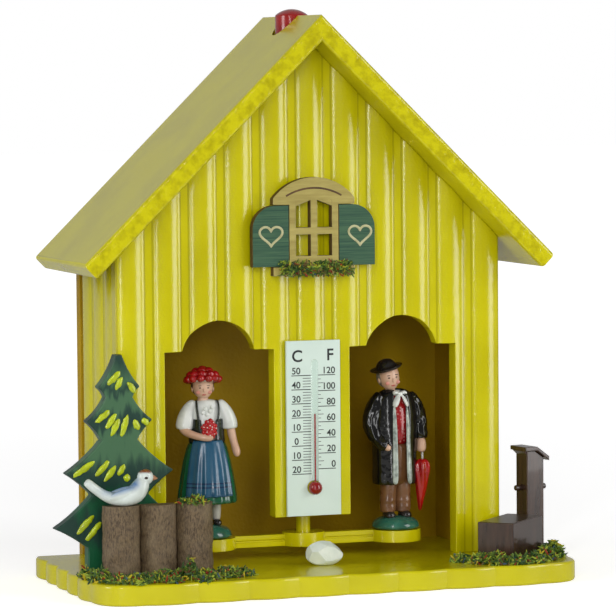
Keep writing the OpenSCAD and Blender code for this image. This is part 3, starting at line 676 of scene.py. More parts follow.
def add_head(name, place, centre, tilt, tall, hair):
    """A calm doll's head with painted eyes, brows, cheeks and lips, and hair round its back."""
    seat = place @ FIGURE_TURN @ Matrix.Translation(centre) @ Matrix.Rotation(math.radians(tilt), 4, "Y")
    seat = seat @ Matrix.Diagonal((1, 1, tall, 1)) @ FIGURE_TURN.inverted()
    bm = bmesh.new()
    loft(bm, [
        oval((0, -0.8, -0.1), 0.7, 0.7), oval((0, -0.7, 0.2), 1.6, 1.5), oval((0, -0.4, 1.4), 2.7, 2.7),
        oval((0, -0.1, 3.2), 3.3, 3.4), oval((0, 0, 5.2), 3.5, 3.6), oval((0, 0.1, 7.0), 3.0, 3.2),
        oval((0, 0.1, 8.0), 1.4, 1.5),
    ], sides=16)
    loft(bm, [
        oval((0, 0.2, -2.4), 2.1, 2.0), oval((0, 0.1, -0.8), 1.8, 1.8), oval((0, 0, 1.0), 1.7, 1.7),
    ])
    add_figure_piece(name + "_head", bm, [skin], seat, rounds=2)
    bm = bmesh.new()
    blob(bm, (0, -3.35, 3.1), (0.42, 0.55, 0.75))
    for side in (-1, 1):
        blob(bm, (side * 3.3, 0.3, 3.4), (0.4, 0.75, 1.1))
        blob(bm, (side * 1.75, -2.72, 2.35), (0.85, 0.30, 0.65), material=1)
        blob(bm, (side * 1.25, -3.12, 4.05), (0.46, 0.22, 0.26), material=2)
        blob(bm, (side * 1.3, -3.18, 4.85), (0.72, 0.20, 0.13), side * 4, material=2)
    blob(bm, (0, -2.95, 1.45), (0.78, 0.30, 0.22), material=3)
    add_figure_piece(name + "_features", bm, [skin, rose, eye_dark, lip_red], seat, rounds=0)
    bm = bmesh.new()
    blob(bm, (0, 0.95, 4.2), (3.72, 3.35, 3.9), detail=4)
    add_figure_piece(name + "_hair", bm, [hair], seat, rounds=0)


# The woman: a folk costume with a hat of red woollen balls, white puffed sleeves, a black bodice with
# straps, a green skirt and a glossy blue apron, and a bunch of red flowers in one hand.
woman_place = Matrix.Translation((-32.1, pivot_y, disc_top))
hair_brown = painted("hair_brown", (0.10, 0.06, 0.035), (0.05, 0.03, 0.018),
                     pool=260, grit=900, peel=0.4, gloss=(0.35, 0.5), coat=0.1)
blouse_white = painted("blouse_white", (0.72, 0.74, 0.70), (0.58, 0.61, 0.57),
                       pool=170, grit=900, peel=0.2, gloss=(0.22, 0.36), coat=0.3)
bodice_black = painted("bodice_black", (0.014, 0.022, 0.018), (0.007, 0.011, 0.009),
                       pool=260, grit=900, peel=0.2, gloss=(0.14, 0.26), coat=0.4)
skirt_green = painted("skirt_green", (0.006, 0.105, 0.045), (0.003, 0.055, 0.025),
                      pool=160, grit=900, peel=0.12, gloss=(0.12, 0.22), coat=0.5)
hat_red = painted("hat_red", (0.38, 0.004, 0.009), (0.20, 0.002, 0.004),
                  pool=260, grit=620, peel=0.7, gloss=(0.14, 0.26), coat=0.6)
flower_red = painted("flower_red", (0.50, 0.010, 0.014), (0.33, 0.004, 0.006),
                     pool=500, grit=1300, peel=0.4, gloss=(0.18, 0.3), coat=0.4)
stocking_pale = painted("stocking_pale", (0.52, 0.50, 0.45), (0.42, 0.39, 0.34),
                        pool=170, grit=900, peel=0.1, gloss=(0.25, 0.4), coat=0.2)


def make_apron_blue():
    """Glossy blue paint with two darker woven bands near the hem."""
    made = painted("apron_blue", (0.018, 0.090, 0.165), (0.011, 0.060, 0.12),
                   pool=150, grit=900, peel=0.1, gloss=(0.16, 0.26), coat=0.3)
    tree = made.node_tree
    half_band = 0.22
    height, bands = object_axis(tree, "Z"), 0.0
    for above_disc in (18.0, 16.8):
        band = calc(tree, "COMPARE", height, (disc_top + above_disc) * MM, half_band * MM)
        bands = calc(tree, "MAXIMUM", bands, band)
    overpaint(made, bands, (0.004, 0.022, 0.07, 1))
    return made


def add_woman_legs():
    """Two black shoes and two pale stockings."""
    bm = bmesh.new()
    for side in (-1, 1):
        loft(bm, along([
            ((side * 2.9, 0.9, 4.9), 1.3), ((side * 3.0, -1.0, 5.0), 1.6), ((side * 3.1, -3.0, 4.5), 1.2),
        ], flat=0.8))
    add_figure_piece("woman_shoes", bm, [shoe_black], woman_place)
    bm = bmesh.new()
    for side in (-1, 1):
        loft(bm, [
            oval((side * 2.9, 0.2, 5), 1.25, 1.25), oval((side * 2.9, 0.3, 7.5), 1.6, 1.6),
            oval((side * 2.9, 0.2, 14), 1.7, 1.7),
        ])
    add_figure_piece("woman_stockings", bm, [stocking_pale], woman_place)


def add_woman_skirt():
    """A long skirt in soft folds, with an apron over its front."""
    bm = bmesh.new()
    skirt = loft(bm, [
        oval((0, 0, 12.6), 8.3, 7.6), oval((0, 0, 11.1), 9.2, 8.4), oval((0, 0, 11.5), 9.6, 8.8),
        oval((0, 0, 15), 9.2, 8.3), oval((0, 0, 20), 8.5, 7.5), oval((0, 0, 25), 7.6, 6.6),
        oval((0, 0, 29), 6.5, 5.4), oval((0, 0, 31.4), 5.7, 4.6),
    ], sides=64)
    pleat(skirt, count=16, depth=0.035, low=11, high=31)
    add_figure_piece("woman_skirt", bm, [skirt_green], woman_place)
    bm = bmesh.new()
    shell(bm, [
        oval((0, 0, 31.6), 6.0, 5.0), oval((0, 0, 29), 6.9, 5.9), oval((0, 0, 25), 8.0, 7.1),
        oval((0, 0, 20), 8.9, 8.0), oval((0, 0, 15.5), 9.5, 8.7), oval((0, 0, 13.6), 9.7, 8.9),
    ], start=-52, sweep=100, steps=36)
    pleat(bm.verts, count=18, depth=0.03, low=13, high=32)
    add_figure_piece("woman_apron", bm, [make_apron_blue()], woman_place, thickness=0.35)


def add_woman_blouse():
    """A white blouse with a frill at the neck and two puffed sleeves."""
    bm = bmesh.new()
    loft(bm, [
        oval((0, 0, 30.6), 5.3, 4.2), oval((0, 0, 33.5), 5.0, 4.0), oval((0, -0.2, 37), 5.2, 4.2),
        oval((0, 0, 40.4), 5.4, 3.9), oval((0, 0, 43), 4.4, 3.1), oval((0, 0, 44.3), 2.6, 2.4),
    ], sides=16)
    for x, z in ((-1.0, 41.4), (0.6, 40.7), (-0.4, 39.6), (1.3, 42), (-1.7, 40.3)):
        blob(bm, (x, -3.75, z), (0.75, 0.45, 0.8), detail=2)
    add_figure_piece("woman_blouse", bm, [blouse_white], woman_place)
    bm = bmesh.new()
    for side, swell in ((-1, 1.0), (1, 0.92)):
        loft(bm, along([
            ((side * 3.4, 0, 43.7), 1.5), ((side * 5.0, -0.2, 41.8), 2.4 * swell),
            ((side * 6.4, -0.6, 39), 3.0 * swell), ((side * 7.1, -1.0, 36.4), 3.1 * swell),
            ((side * 7.3, -1.0, 35.0), 2.9 * swell), ((side * 7.3, -1.0, 34.8), 2.3 * swell),
        ]))
    add_figure_piece("woman_sleeves", bm, [blouse_white], woman_place, rounds=2)


def add_woman_bodice():
    """A black bodice that is open in front, with a strap over each shoulder."""
    bm = bmesh.new()
    shell(bm, [
        oval((0, 0, 30.4), 5.8, 4.7), oval((0, 0, 33.5), 5.4, 4.4), oval((0, -0.2, 36.8), 5.5, 4.6),
        oval((0, -0.2, 38.2), 5.5, 4.6),
    ], start=24, sweep=312, steps=32)
    add_figure_piece("woman_bodice", bm, [bodice_black], woman_place, thickness=0.4)
    bm = bmesh.new()
    for side in (-1, 1):
        loft(bm, along([
            ((side * 3.0, -3.9, 36.8), 0.8), ((side * 3.4, -4.0, 39.6), 0.75),
            ((side * 3.6, -3.2, 42.3), 0.75), ((side * 3.4, -0.9, 44.0), 0.75),
            ((side * 3.2, 1.8, 43.2), 0.75), ((side * 3.0, 3.8, 38.4), 0.75),
        ], flat=0.5), sides=8)
    add_figure_piece("woman_straps", bm, [bodice_black], woman_place, rounds=2)


def add_woman_arms():
    """Bare forearms, one bent in front of the waist and one hanging."""
    bm = bmesh.new()
    loft(bm, along([
        ((-7.4, -0.8, 36.6), 1.5), ((-8.1, -1.6, 34.9), 1.6), ((-6.2, -3.9, 33.6), 1.4),
        ((-2.6, -5.6, 32.6), 1.15), ((-0.2, -6.2, 32.3), 1.25), ((1.4, -6.3, 32.5), 0.8),
    ]), sides=10)
    loft(bm, along([
        ((7.4, -0.8, 36.4), 1.45), ((7.9, -1.0, 33), 1.45), ((8.6, -1.6, 30), 1.15),
        ((9.2, -2.0, 28), 1.45), ((9.4, -2.2, 26.6), 1.2), ((9.3, -2.2, 25.8), 0.6),
    ]), sides=10)
    add_figure_piece("woman_arms", bm, [skin], woman_place, rounds=2)


def add_woman_flowers():
    """A round bunch of red petals with small white bits."""
    count, golden_angle = 34, 2.4
    middle_x, middle_z, half_w, half_h = 0.1, 35, 2.3, 2.9
    bm = bmesh.new()
    petals = random.Random(4)
    for i in range(count):
        angle, out = i * golden_angle, math.sqrt((i + 0.5) / count)
        x, z = middle_x + half_w * out * math.cos(angle), middle_z + half_h * out * math.sin(angle)
        size = petals.uniform(0.6, 0.85)
        blob(bm, (x, -5.6 - 1.2 * (1 - out), z), (size, size, size), detail=2)
        if i % 3 == 0:
            blob(bm, (x + 0.3, -6.3 - 1.25 * (1 - out), z + 0.2), (0.24, 0.24, 0.24), detail=1, material=1)
    add_figure_piece("woman_flowers", bm, [flower_red, blouse_white], woman_place, rounds=0)


def add_woman_hat():
    """A white brim under four rings of red woollen balls, tilted back a little."""
    middle_x, tilt = -1.1, Matrix.Rotation(math.radians(-9), 3, "X")
    brim = [(0, 49.8), (4.9, 49.6), (5.1, 49.9), (4.8, 50.3), (3.4, 51.3), (0, 52.3)]
    rings = [(12, 4.9, 50.5, 1.45), (9, 3.7, 51.8, 1.7), (5, 2.0, 52.9, 1.75), (1, 0.0, 53.6, 1.6)]
    bm = bmesh.new()
    spun(bm, brim, (middle_x, 0, 0))
    for count, ring_r, z, size in rings:
        for i in range(count):
            angle = math.tau * (i + 0.5) / count
            ball = (middle_x + ring_r * math.cos(angle), ring_r * math.sin(angle), z)
            blob(bm, ball, (size, size, size * 0.85), material=1)
    crumple(bm, 0.12, per_mm=1.6)
    bmesh.ops.rotate(bm, cent=(middle_x, 0, 51.5), matrix=tilt, verts=bm.verts)
    return add_figure_piece("woman_hat", bm, [blouse_white, hat_red], woman_place, rounds=0)


add_mound("woman_mound", woman_place)
add_woman_legs()
add_woman_skirt()
add_woman_blouse()
add_woman_bodice()
add_woman_arms()
add_woman_flowers()
add_head("woman", woman_place, (-1.1, 0, 44.6), tilt=0, tall=0.86, hair=hair_brown)
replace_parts(add_woman_hat(), "woman_figure")


# The man: a knee-long black coat with pale linings, open over a red patterned waistcoat and brown
# trousers, a white neckcloth, a black felt hat pushed to one side and a rolled red umbrella.
MAN_TURN = Matrix.Rotation(math.radians(14), 4, "Z")
man_place = Matrix.Translation((31.5, pivot_y, disc_top)) @ MAN_TURN
hair_grey = painted("hair_grey", (0.22, 0.20, 0.17), (0.14, 0.12, 0.10),
                    pool=260, grit=900, peel=0.4, gloss=(0.35, 0.5), coat=0.1)
coat_black = painted("coat_black", (0.008, 0.008, 0.008), (0.003, 0.003, 0.003),
                     pool=160, grit=500, peel=0.6, gloss=(0.10, 0.18), coat=0.1)
lining_pale = painted("lining_pale", (0.40, 0.45, 0.40), (0.08, 0.10, 0.09),
                      pool=420, grit=900, peel=0.2, gloss=(0.16, 0.3), coat=0.4)
trouser_brown = painted("trouser_brown", (0.17, 0.075, 0.030), (0.10, 0.042, 0.018),
                        pool=200, grit=500, peel=0.5, gloss=(0.2, 0.34), coat=0.3)
umbrella_red = painted("umbrella_red", (0.40, 0.004, 0.006), (0.22, 0.002, 0.003),
                       pool=180, grit=900, peel=0.15, gloss=(0.1, 0.2), coat=0.6)
felt_black = painted("felt_black", (0.012, 0.010, 0.010), (0.005, 0.005, 0.005),
                     pool=260, grit=900, peel=0.3, gloss=(0.2, 0.36), coat=0.3)


def make_vest_red():
    """Red paint with a close pattern of small pale dabs."""
    made = painted("vest_red", (0.32, 0.008, 0.010), (0.20, 0.003, 0.004),
                   pool=260, grit=900, peel=0.2, gloss=(0.16, 0.28), coat=0.4)
    tree = made.node_tree
    from_dab = add(tree, "ShaderNodeTexVoronoi", {
        "Vector": object_place(tree), "Scale": 820.0, "Randomness": 0.5,
    }).outputs["Distance"]
    overpaint(made, graded(tree, from_dab, 0.30, 0.18, last=0.75), (0.50, 0.22, 0.19, 1))
    return made


def add_man_legs():
    """Two black shoes, and brown trousers with creases at their feet."""
    bm = bmesh.new()
    for side in (-1, 1):
        loft(bm, along([
            ((side * 2.6, 1.4, 4.6), 1.8), ((side * 2.8, -1.2, 4.8), 2.2), ((side * 3.0, -4.2, 4.1), 1.6),
        ], flat=0.75))
    add_figure_piece("man_shoes", bm, [shoe_black], man_place)
    bm = bmesh.new()
    for side in (-1, 1):
        folds = [
            oval((side * 2.6, 0, 5.2 + 1.0 * i), 2.85 - 0.22 * (i % 2), 2.9 - 0.25 * (i % 2))
            for i in range(6)
        ]
        leg = [oval((side * 2.5, 0, 12), 2.75, 3.0), oval((side * 2.3, 0, 20), 2.9, 3.4)]
        loft(bm, folds + leg, sides=14)
    loft(bm, [
        oval((0, 0, 13.5), 4.6, 3.4), oval((0, -0.2, 18), 5.0, 4.0), oval((0, -0.2, 25), 5.0, 4.3),
        oval((0, -0.2, 28.5), 4.8, 4.3),
    ], sides=16)
    crumple(bm, 0.22, per_mm=0.55)
    add_figure_piece("man_trousers", bm, [trouser_brown], man_place, rounds=2)


def add_man_waistcoat():
    """A close red waistcoat with a pale pattern."""
    bm = bmesh.new()
    loft(bm, [
        oval((0, -0.1, 27.0), 4.5, 4.3), oval((0, -0.3, 29.0), 4.8, 4.6), oval((0, -0.4, 34), 4.9, 4.7),
        oval((0, -0.3, 39), 5.0, 4.4), oval((0, 0, 42.5), 3.6, 3.2), oval((0, 0, 43.8), 2.2, 2.2),
    ], sides=16)
    add_figure_piece("man_waistcoat", bm, [make_vest_red()], man_place)


def add_man_coat():
    """A knee-long black coat that is open in front, with a pale lining along both edges."""
    bm = bmesh.new()
    shell(bm, [
        oval((0, 0.2, 45.2), 2.9, 2.8), oval((0, 0.2, 43.8), 5.4, 3.9), oval((0, 0.1, 41.5), 7.0, 4.8),
        oval((0, 0, 36), 7.6, 5.3), oval((0, 0, 31), 7.4, 5.4), oval((0, 0.2, 24), 7.0, 5.6),
        oval((0, 0.3, 17.5), 7.0, 5.8), oval((0, 0.3, 14.5), 7.0, 5.9),
    ], start=20, sweep=320, steps=40)
    pleat(bm.verts, count=9, depth=0.03, low=14, high=34)
    crumple(bm, 0.3, per_mm=0.7)
    add_figure_piece("man_coat", bm, [coat_black, lining_pale], man_place, rounds=2, thickness=0.7)
    bm = bmesh.new()
    for side in (-1, 1):
        loft(bm, along([
            ((side * 2.2, -4.5, 40.5), 0.4), ((side * 2.3, -4.9, 38), 0.6), ((side * 2.35, -5.3, 34), 0.8),
            ((side * 2.35, -5.5, 29), 0.9), ((side * 2.4, -5.7, 23), 1.0), ((side * 2.5, -5.9, 18), 1.1),
            ((side * 2.6, -6.0, 14.6), 1.05),
        ], flat=0.45), sides=8)
    add_figure_piece("man_linings", bm, [lining_pale], man_place, rounds=2)


def add_man_arms():
    """Creased coat sleeves, one bent to the waist and one hanging, with their hands."""
    bm = bmesh.new()
    loft(bm, along([
        ((-4.4, 0.2, 43.2), 2.0), ((-6.0, 0.1, 41.6), 2.6), ((-7.6, 0.0, 38.2), 2.8),
        ((-8.6, -0.2, 34.8), 2.7), ((-8.4, -1.6, 31.4), 2.3), ((-7.2, -3.6, 28.8), 2.0),
        ((-5.8, -5.0, 27.4), 1.8), ((-5.4, -5.2, 27.2), 1.2),
    ]))
    loft(bm, along([
        ((4.4, 0.2, 43.0), 2.0), ((6.0, 0.1, 41.4), 2.6), ((7.6, 0.0, 38), 2.8),
        ((8.6, -0.2, 34.6), 2.6), ((8.8, -0.9, 31.6), 2.2), ((8.8, -1.5, 29.4), 2.1),
        ((8.8, -1.5, 29.1), 1.5),
    ]))
    bmesh.ops.subdivide_edges(bm, edges=bm.edges, cuts=2, use_grid_fill=True, smooth=0.6)
    crumple(bm, 0.55, per_mm=0.75)
    add_figure_piece("man_sleeves", bm, [coat_black], man_place, rounds=2)
    bm = bmesh.new()
    loft(bm, along([
        ((8.8, -1.5, 29.4), 1.2), ((8.7, -1.8, 27.8), 1.6), ((8.5, -2.1, 25.8), 1.75),
        ((8.3, -2.2, 24.4), 1.1),
    ]), sides=10)
    loft(bm, along([
        ((-6.4, -4.7, 27.8), 1.1), ((-5.0, -5.6, 26.8), 1.2), ((-4.2, -5.9, 26.2), 0.8),
    ]), sides=10)
    add_figure_piece("man_hands", bm, [skin], man_place, rounds=2)


def add_man_neckcloth():
    """A white neckcloth, tied in front with two hanging ends."""
    bm = bmesh.new()
    for side in (-1, 1):
        loft(bm, along([
            ((side * 0.3, -4.0, 44.0), 0.7), ((side * 1.5, -4.1, 44.6), 1.3), ((side * 2.4, -3.6, 44.0), 0.9),
        ], flat=0.6), sides=10)
        loft(bm, along([
            ((side * 0.4, -4.3, 43.9), 0.7), ((side * 1.5, -5.0, 42.0), 1.4), ((side * 2.5, -5.1, 39.6), 1.2),
        ], flat=0.5), sides=10)
    blob(bm, (0, -4.5, 43.8), (0.8, 0.55, 0.8))
    loft(bm, [
        oval((0, 0, 42.9), 2.9, 2.9), oval((0, 0, 44.2), 2.6, 2.6), oval((0, 0, 44.9), 2.1, 2.1),
    ], sides=16)
    add_figure_piece("man_neckcloth", bm, [blouse_white], man_place)


def add_man_umbrella():
    """A rolled red umbrella in twisted folds, which hangs from the hand on its pale stick."""
    axis_x, axis_y, folds, fold_depth, twist = 8.3, -2.6, 6, 0.16, 0.25
    bm = bmesh.new()
    cloth = loft(bm, [
        oval((8.6, -2.6, 22.5), 0.9, 0.9), oval((8.6, -2.6, 21.9), 2.0, 2.0),
        oval((8.5, -2.6, 20.3), 2.75, 2.6), oval((8.4, -2.6, 18.2), 2.5, 2.4),
        oval((8.2, -2.6, 13), 1.7, 1.6), oval((7.9, -2.6, 8.5), 0.95, 0.9),
        oval((7.6, -2.6, 5.4), 0.35, 0.35),
    ], sides=36)
    for v in cloth:
        side, depth = v.co.x - axis_x, v.co.y - axis_y
        swell = 1 + fold_depth * math.cos(folds * math.atan2(depth, side) + twist * v.co.z)
        v.co.x, v.co.y = axis_x + side * swell, axis_y + depth * swell
    loft(bm, along([((8.6, -2.5, 25), 0.5), ((8.6, -2.6, 21.5), 0.5)]), sides=8, material=1)
    loft(bm, along([((8.35, -2.6, 18.6), 2.75), ((8.3, -2.6, 17.9), 2.7)]), sides=16)
    add_figure_piece("man_umbrella", bm, [umbrella_red, stocking_pale], man_place)


def add_man_hat():
    """A black felt hat with a rolled brim, pushed to one side."""
    seat = Matrix.Translation((-2.6, 0, 51.2)) @ Matrix.Rotation(math.radians(-15), 4, "Y")
    bm = bmesh.new()
    spun(bm, [
        (0, 0.2), (3.2, 0.1), (4.6, 0.4), (5.3, 1.0), (5.45, 1.3), (5.1, 1.3), (4.1, 1.2), (3.4, 1.8),
        (2.9, 2.8), (2.0, 3.6), (1.0, 3.9), (0, 3.95),
    ], steps=40)
    bmesh.ops.transform(bm, matrix=seat, verts=bm.verts)
    return add_figure_piece("man_hat", bm, [felt_black], man_place)


add_mound("man_mound", man_place)
add_man_legs()
add_man_waistcoat()
add_man_coat()
add_man_arms()
add_man_neckcloth()
add_man_umbrella()
add_head("man", man_place, (-1.6, 0, 45.2), tilt=-6, tall=1, hair=hair_grey)
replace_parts(add_man_hat(), "man_figure")


# Thermometer: a printed satin card glued on the tongue of the wall, with a glass capillary and a bulb
# of red spirit in front of its two scales.
UPRIGHT = Matrix.Rotation(math.pi / 2, 4, "X")
card_low, card_high = box_mm("thermometer_card")
tube_low, tube_high = box_mm("thermometer_tube")
PRINT_Y = card_low.y - 0.02
card_white = painted("card_white", (0.64, 0.755, 0.68), (0.60, 0.715, 0.64),
                     pool=60, grit=1500, peel=0.04, gloss=(0.35, 0.5), coat=0.1)
print_ink = painted("print_ink", (0.020, 0.026, 0.024), (0.012, 0.016, 0.015),
                    pool=300, grit=1500, peel=0.05, gloss=(0.4, 0.55), coat=0)
red_spirit = painted("red_spirit", (0.32, 0.006, 0.009), (0.22, 0.003, 0.005),
                     pool=400, grit=1500, peel=0.02, gloss=(0.12, 0.2), coat=0.3)


def draw_curve(bm, data, place):
    """Adds a text or a curve to a mesh, and sets it in its place."""
    holder = bpy.data.objects.new("outline", data)
    scene.collection.objects.link(holder)
    mesh = bpy.data.meshes.new_from_object(holder.evaluated_get(bpy.context.evaluated_depsgraph_get()))
    bpy.data.objects.remove(holder)
    mesh.transform(place)
    bm.from_mesh(mesh)
    bpy.data.meshes.remove(mesh)


def letter(bm, text, size, x, z, align="CENTER"):
    """Prints a text upright on the card, with the foot of its letters at a height."""
    capital, boldness = 0.73, 0.024
    data = bpy.data.curves.new("letters", "FONT")
    data.body = text
    data.size = size / capital
    data.offset = boldness * size
    data.align_x = align
    draw_curve(bm, data, Matrix.Translation((x, PRINT_Y, z)) @ UPRIGHT)


def rule(bm, x0, x1, z, width):
    """Prints a line across the card."""
    place = Matrix.Translation(((x0 + x1) / 2, PRINT_Y, z)) @ UPRIGHT
    size = Matrix.Diagonal((x1 - x0, width, 1, 1))
    bmesh.ops.create_grid(bm, x_segments=1, y_segments=1, size=0.5, matrix=place @ size)


def add_scales():
    """The two scales beside the tube, with a number at each long line."""
    zero_c, per_c = card_low.z + 22.4, 0.4487
    zero_f, per_f = card_low.z + 14.9, 0.2494
    from_tube, bold, fine = 0.9, 0.27, 0.20
    digit, sign, gap = 2.15, 3.8, 0.5
    bm = bmesh.new()
    for degree in range(-20, 51, 2):
        z = zero_c + degree * per_c
        major = degree % 10 == 0
        rule(bm, -7.4 if major else -3.6, -from_tube, z, bold if major else fine)
        if major:
            letter(bm, str(abs(degree)), digit, -5.8, z + gap)
    for degree in range(0, 121, 5):
        z = zero_f + degree * per_f
        major = degree % 20 == 0
        rule(bm, from_tube, 7.3 if major else 3.3 if degree % 10 == 0 else 2.4, z, bold if major else fine)
        if major:
            letter(bm, str(degree), digit, 7.3, z + gap, "RIGHT")
    letter(bm, "C", sign, -5.4, card_high.z - 6.6)
    letter(bm, "F", sign, 5.6, card_high.z - 6.4)
    add_piece("thermometer_print", bm, [print_ink], "house")


def make_glass():
    """Pale glass that is a little uneven, so that it smears what lies behind it."""
    made, tree, shader = new_material("capillary_glass", {
        "Base Color": (0.84, 0.90, 0.87, 1), "Transmission Weight": 1.0, "IOR": 1.25,
    })
    waves = clouds(tree, object_place(tree), scale=220.0)
    feed(tree, shader, {"Roughness": graded(tree, waves, 0.0, 1.0, 0.2, 0.26)})
    return made


def bulb_profile(radius, neck_r, steps):
    """Radius and height of a bulb from its foot up to its neck, and the height of that neck."""
    neck = math.sqrt(radius ** 2 - neck_r ** 2)
    turns = [math.pi * i / 16 for i in range(steps)]
    points = [(radius * math.sin(turn), -radius * math.cos(turn)) for turn in turns]
    return [point for point in points if point[1] < neck], neck


def add_glass():
    """The glass tube with its bulb, and the spirit that fills the bulb and part of the bore."""
    tube_r, bulb_r, wall, bulb_wall = 1.1, 2.2, 0.5, 0.3
    axis = (0, (tube_low.y + tube_high.y) / 2, tube_low.z + bulb_r)
    length = tube_high.z - tube_low.z - bulb_r
    bulb, neck = bulb_profile(bulb_r, tube_r, 13)
    quarter = [math.pi * i / 12 for i in range(7)]
    head = [(tube_r * math.cos(turn), length - tube_r + tube_r * math.sin(turn)) for turn in quarter]
    bm = bmesh.new()
    spun(bm, bulb + [(tube_r, neck)] + head, axis)
    tube = add_piece("thermometer_glass", bm, [make_glass()], "house")
    tube.visible_shadow = tube.visible_diffuse = tube.visible_glossy = False
    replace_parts(tube, "thermometer_tube")

    bore, tip = tube_r - wall, 0.3
    thread_r, top = bore * 0.34, box_mm("thermometer_liquid")[1].z - axis[2]
    pool, neck = bulb_profile(bulb_r - bulb_wall, bore, 16)
    bm = bmesh.new()
    spun(bm, pool + [(thread_r, neck), (thread_r, top), (0, top + tip)], axis)
    spirit = add_piece("thermometer_spirit", bm, [red_spirit], "house")
    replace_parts(spirit, "thermometer_liquid")


add_rounded("thermometer_card", 0.12, card_white, "house", "card")
add_scales()
add_glass()


# Window: an ornament sawn from thin plywood, with burnt saw edges and a burnt arc on its lintel. The
# two shutters beside it are stained green and have a heart drawn on them in cream paint.
frame_low, frame_high = box_mm("window_frame")
WINDOW_Y = frame_low.y - 0.03
plywood = wooden("plywood", (0.45, 0.375, 0.110), (0.30, 0.235, 0.055),
                 stretch=(60, 300, 500), roughness=0.5, relief=0.25, coat=0.15)
burnt_edge = wooden("burnt_edge", (0.13, 0.065, 0.022), (0.05, 0.024, 0.010),
                    stretch=(300, 900, 500), roughness=0.6, relief=0.4)
shutter_green = wooden("shutter_green", (0.054, 0.130, 0.062), (0.010, 0.056, 0.034),
                       stretch=(60, 300, 2400), roughness=0.45, relief=0.35, coat=0.1)
heart_cream = painted("heart_cream", (0.50, 0.48, 0.26), (0.38, 0.36, 0.18),
                      pool=400, grit=1500, peel=0.15, gloss=(0.3, 0.45), coat=0.1)


def draw_line(bm, points, width, cyclic=False):
    """Draws a flat painted or burnt line through points of the front."""
    flattened = Matrix.Diagonal((1, 1, 0.25, 1))
    data = bpy.data.curves.new("stroke", "CURVE")
    data.dimensions = "3D"
    data.bevel_depth = width / 2
    data.bevel_resolution = 1
    stroke = data.splines.new("POLY")
    stroke.points.add(len(points) - 1)
    for knot, (x, z) in zip(stroke.points, points):
        knot.co = (x, z, 0, 1)
    stroke.use_cyclic_u = cyclic
    draw_curve(bm, data, Matrix.Translation((0, WINDOW_Y, 0)) @ UPRIGHT @ flattened)


def is_sawn(normal):
    """Whether a normal is that of a sawn edge, on a board that faces the front."""
    return abs(normal.y) <= 0.8


def add_sawn(node, name, face, reach=0.0):
    """A sawn board with its face and its burnt edge, and with its side at the window moved by a reach."""
    rounding, inner_half = 0.1, 9.6
    bm = rounded_copy(node, rounding, segments=2)
    for v in bm.verts:
        if reach and abs(v.co.x) < inner_half:
            v.co.x += reach
    give_second_material(bm, is_sawn)
    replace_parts(add_piece(name, bm, [face, burnt_edge], "house"), node)


def add_pane_heads():
    """Two wedges that slope the heads of the upper panes."""
    pane_top, pane_drop, bar, half_w = 121.7, 1.9, 2.2, 8.2
    front, depth = frame_low.y + 0.05, 2.8
    bm = bmesh.new()
    for side in (-1, 1):
        outer, inner = side * (half_w - bar), side * bar / 2
        corners = [(outer, pane_top), (inner, pane_top), (outer, pane_top - pane_drop)]
        draw_board(bm, [(x, front, z) for x, z in corners], (0, depth, 0))
    give_second_material(bm, is_sawn)
    add_piece("pane_heads", bm, [plywood, burnt_edge], "house")


def heart(x, z, half_w, height, count=40):
    """Points of a heart with its tip at a place, from a sum of cosines that is 29 high."""
    points = []
    for i in range(count):
        t = math.tau * i / count
        across = math.sin(t) ** 3
        up = (13 * math.cos(t) - 5 * math.cos(2 * t) - 2 * math.cos(3 * t) - math.cos(4 * t) + 17) / 29
        points.append((x + half_w * across, z + height * up))
    return points


def add_hearts():
    """A heart on each shutter, drawn in one stroke."""
    bm = bmesh.new()
    for tip_x, tip_z in ((-14.3, 107.2), (15.4, 107.0)):
        draw_line(bm, heart(tip_x, tip_z, half_w=3.8, height=6.2), width=0.75, cyclic=True)
    add_piece("shutter_hearts", bm, [heart_cream], "house")


def add_lintel_arc():
    """An arc that is burnt into the lintel."""
    radius, top = 18.5, frame_high.z - 3.4
    turns = [math.radians(3 * i) for i in range(-10, 11)]
    bm = bmesh.new()
    draw_line(bm, [(radius * math.sin(a), top - radius * (1 - math.cos(a))) for a in turns], width=0.6)
    add_piece("lintel_arc", bm, [burnt_edge], "house")


add_sawn("window_frame", "window_plate", plywood)
add_sawn("left_shutter", "left_shutter_board", shutter_green, reach=1.0)
add_sawn("right_shutter", "right_shutter_board", shutter_green, reach=-1.0)
add_pane_heads()
add_hearts()
add_lintel_arc()


# Fir tree: a flat sawn board with four tiers of boughs, brushed in grey green with darker edges, and
# with thick dabs of yellow green on the tips of its boughs.
tree_low, tree_high = box_mm("fir_tree")
tree_x = (tree_low.x + tree_high.x) / 2
bough_yellow = painted("bough_yellow", (0.48, 0.58, 0.012), (0.36, 0.42, 0.006),
                       pool=500, grit=700, peel=0.5, gloss=(0.16, 0.28), coat=0.4)


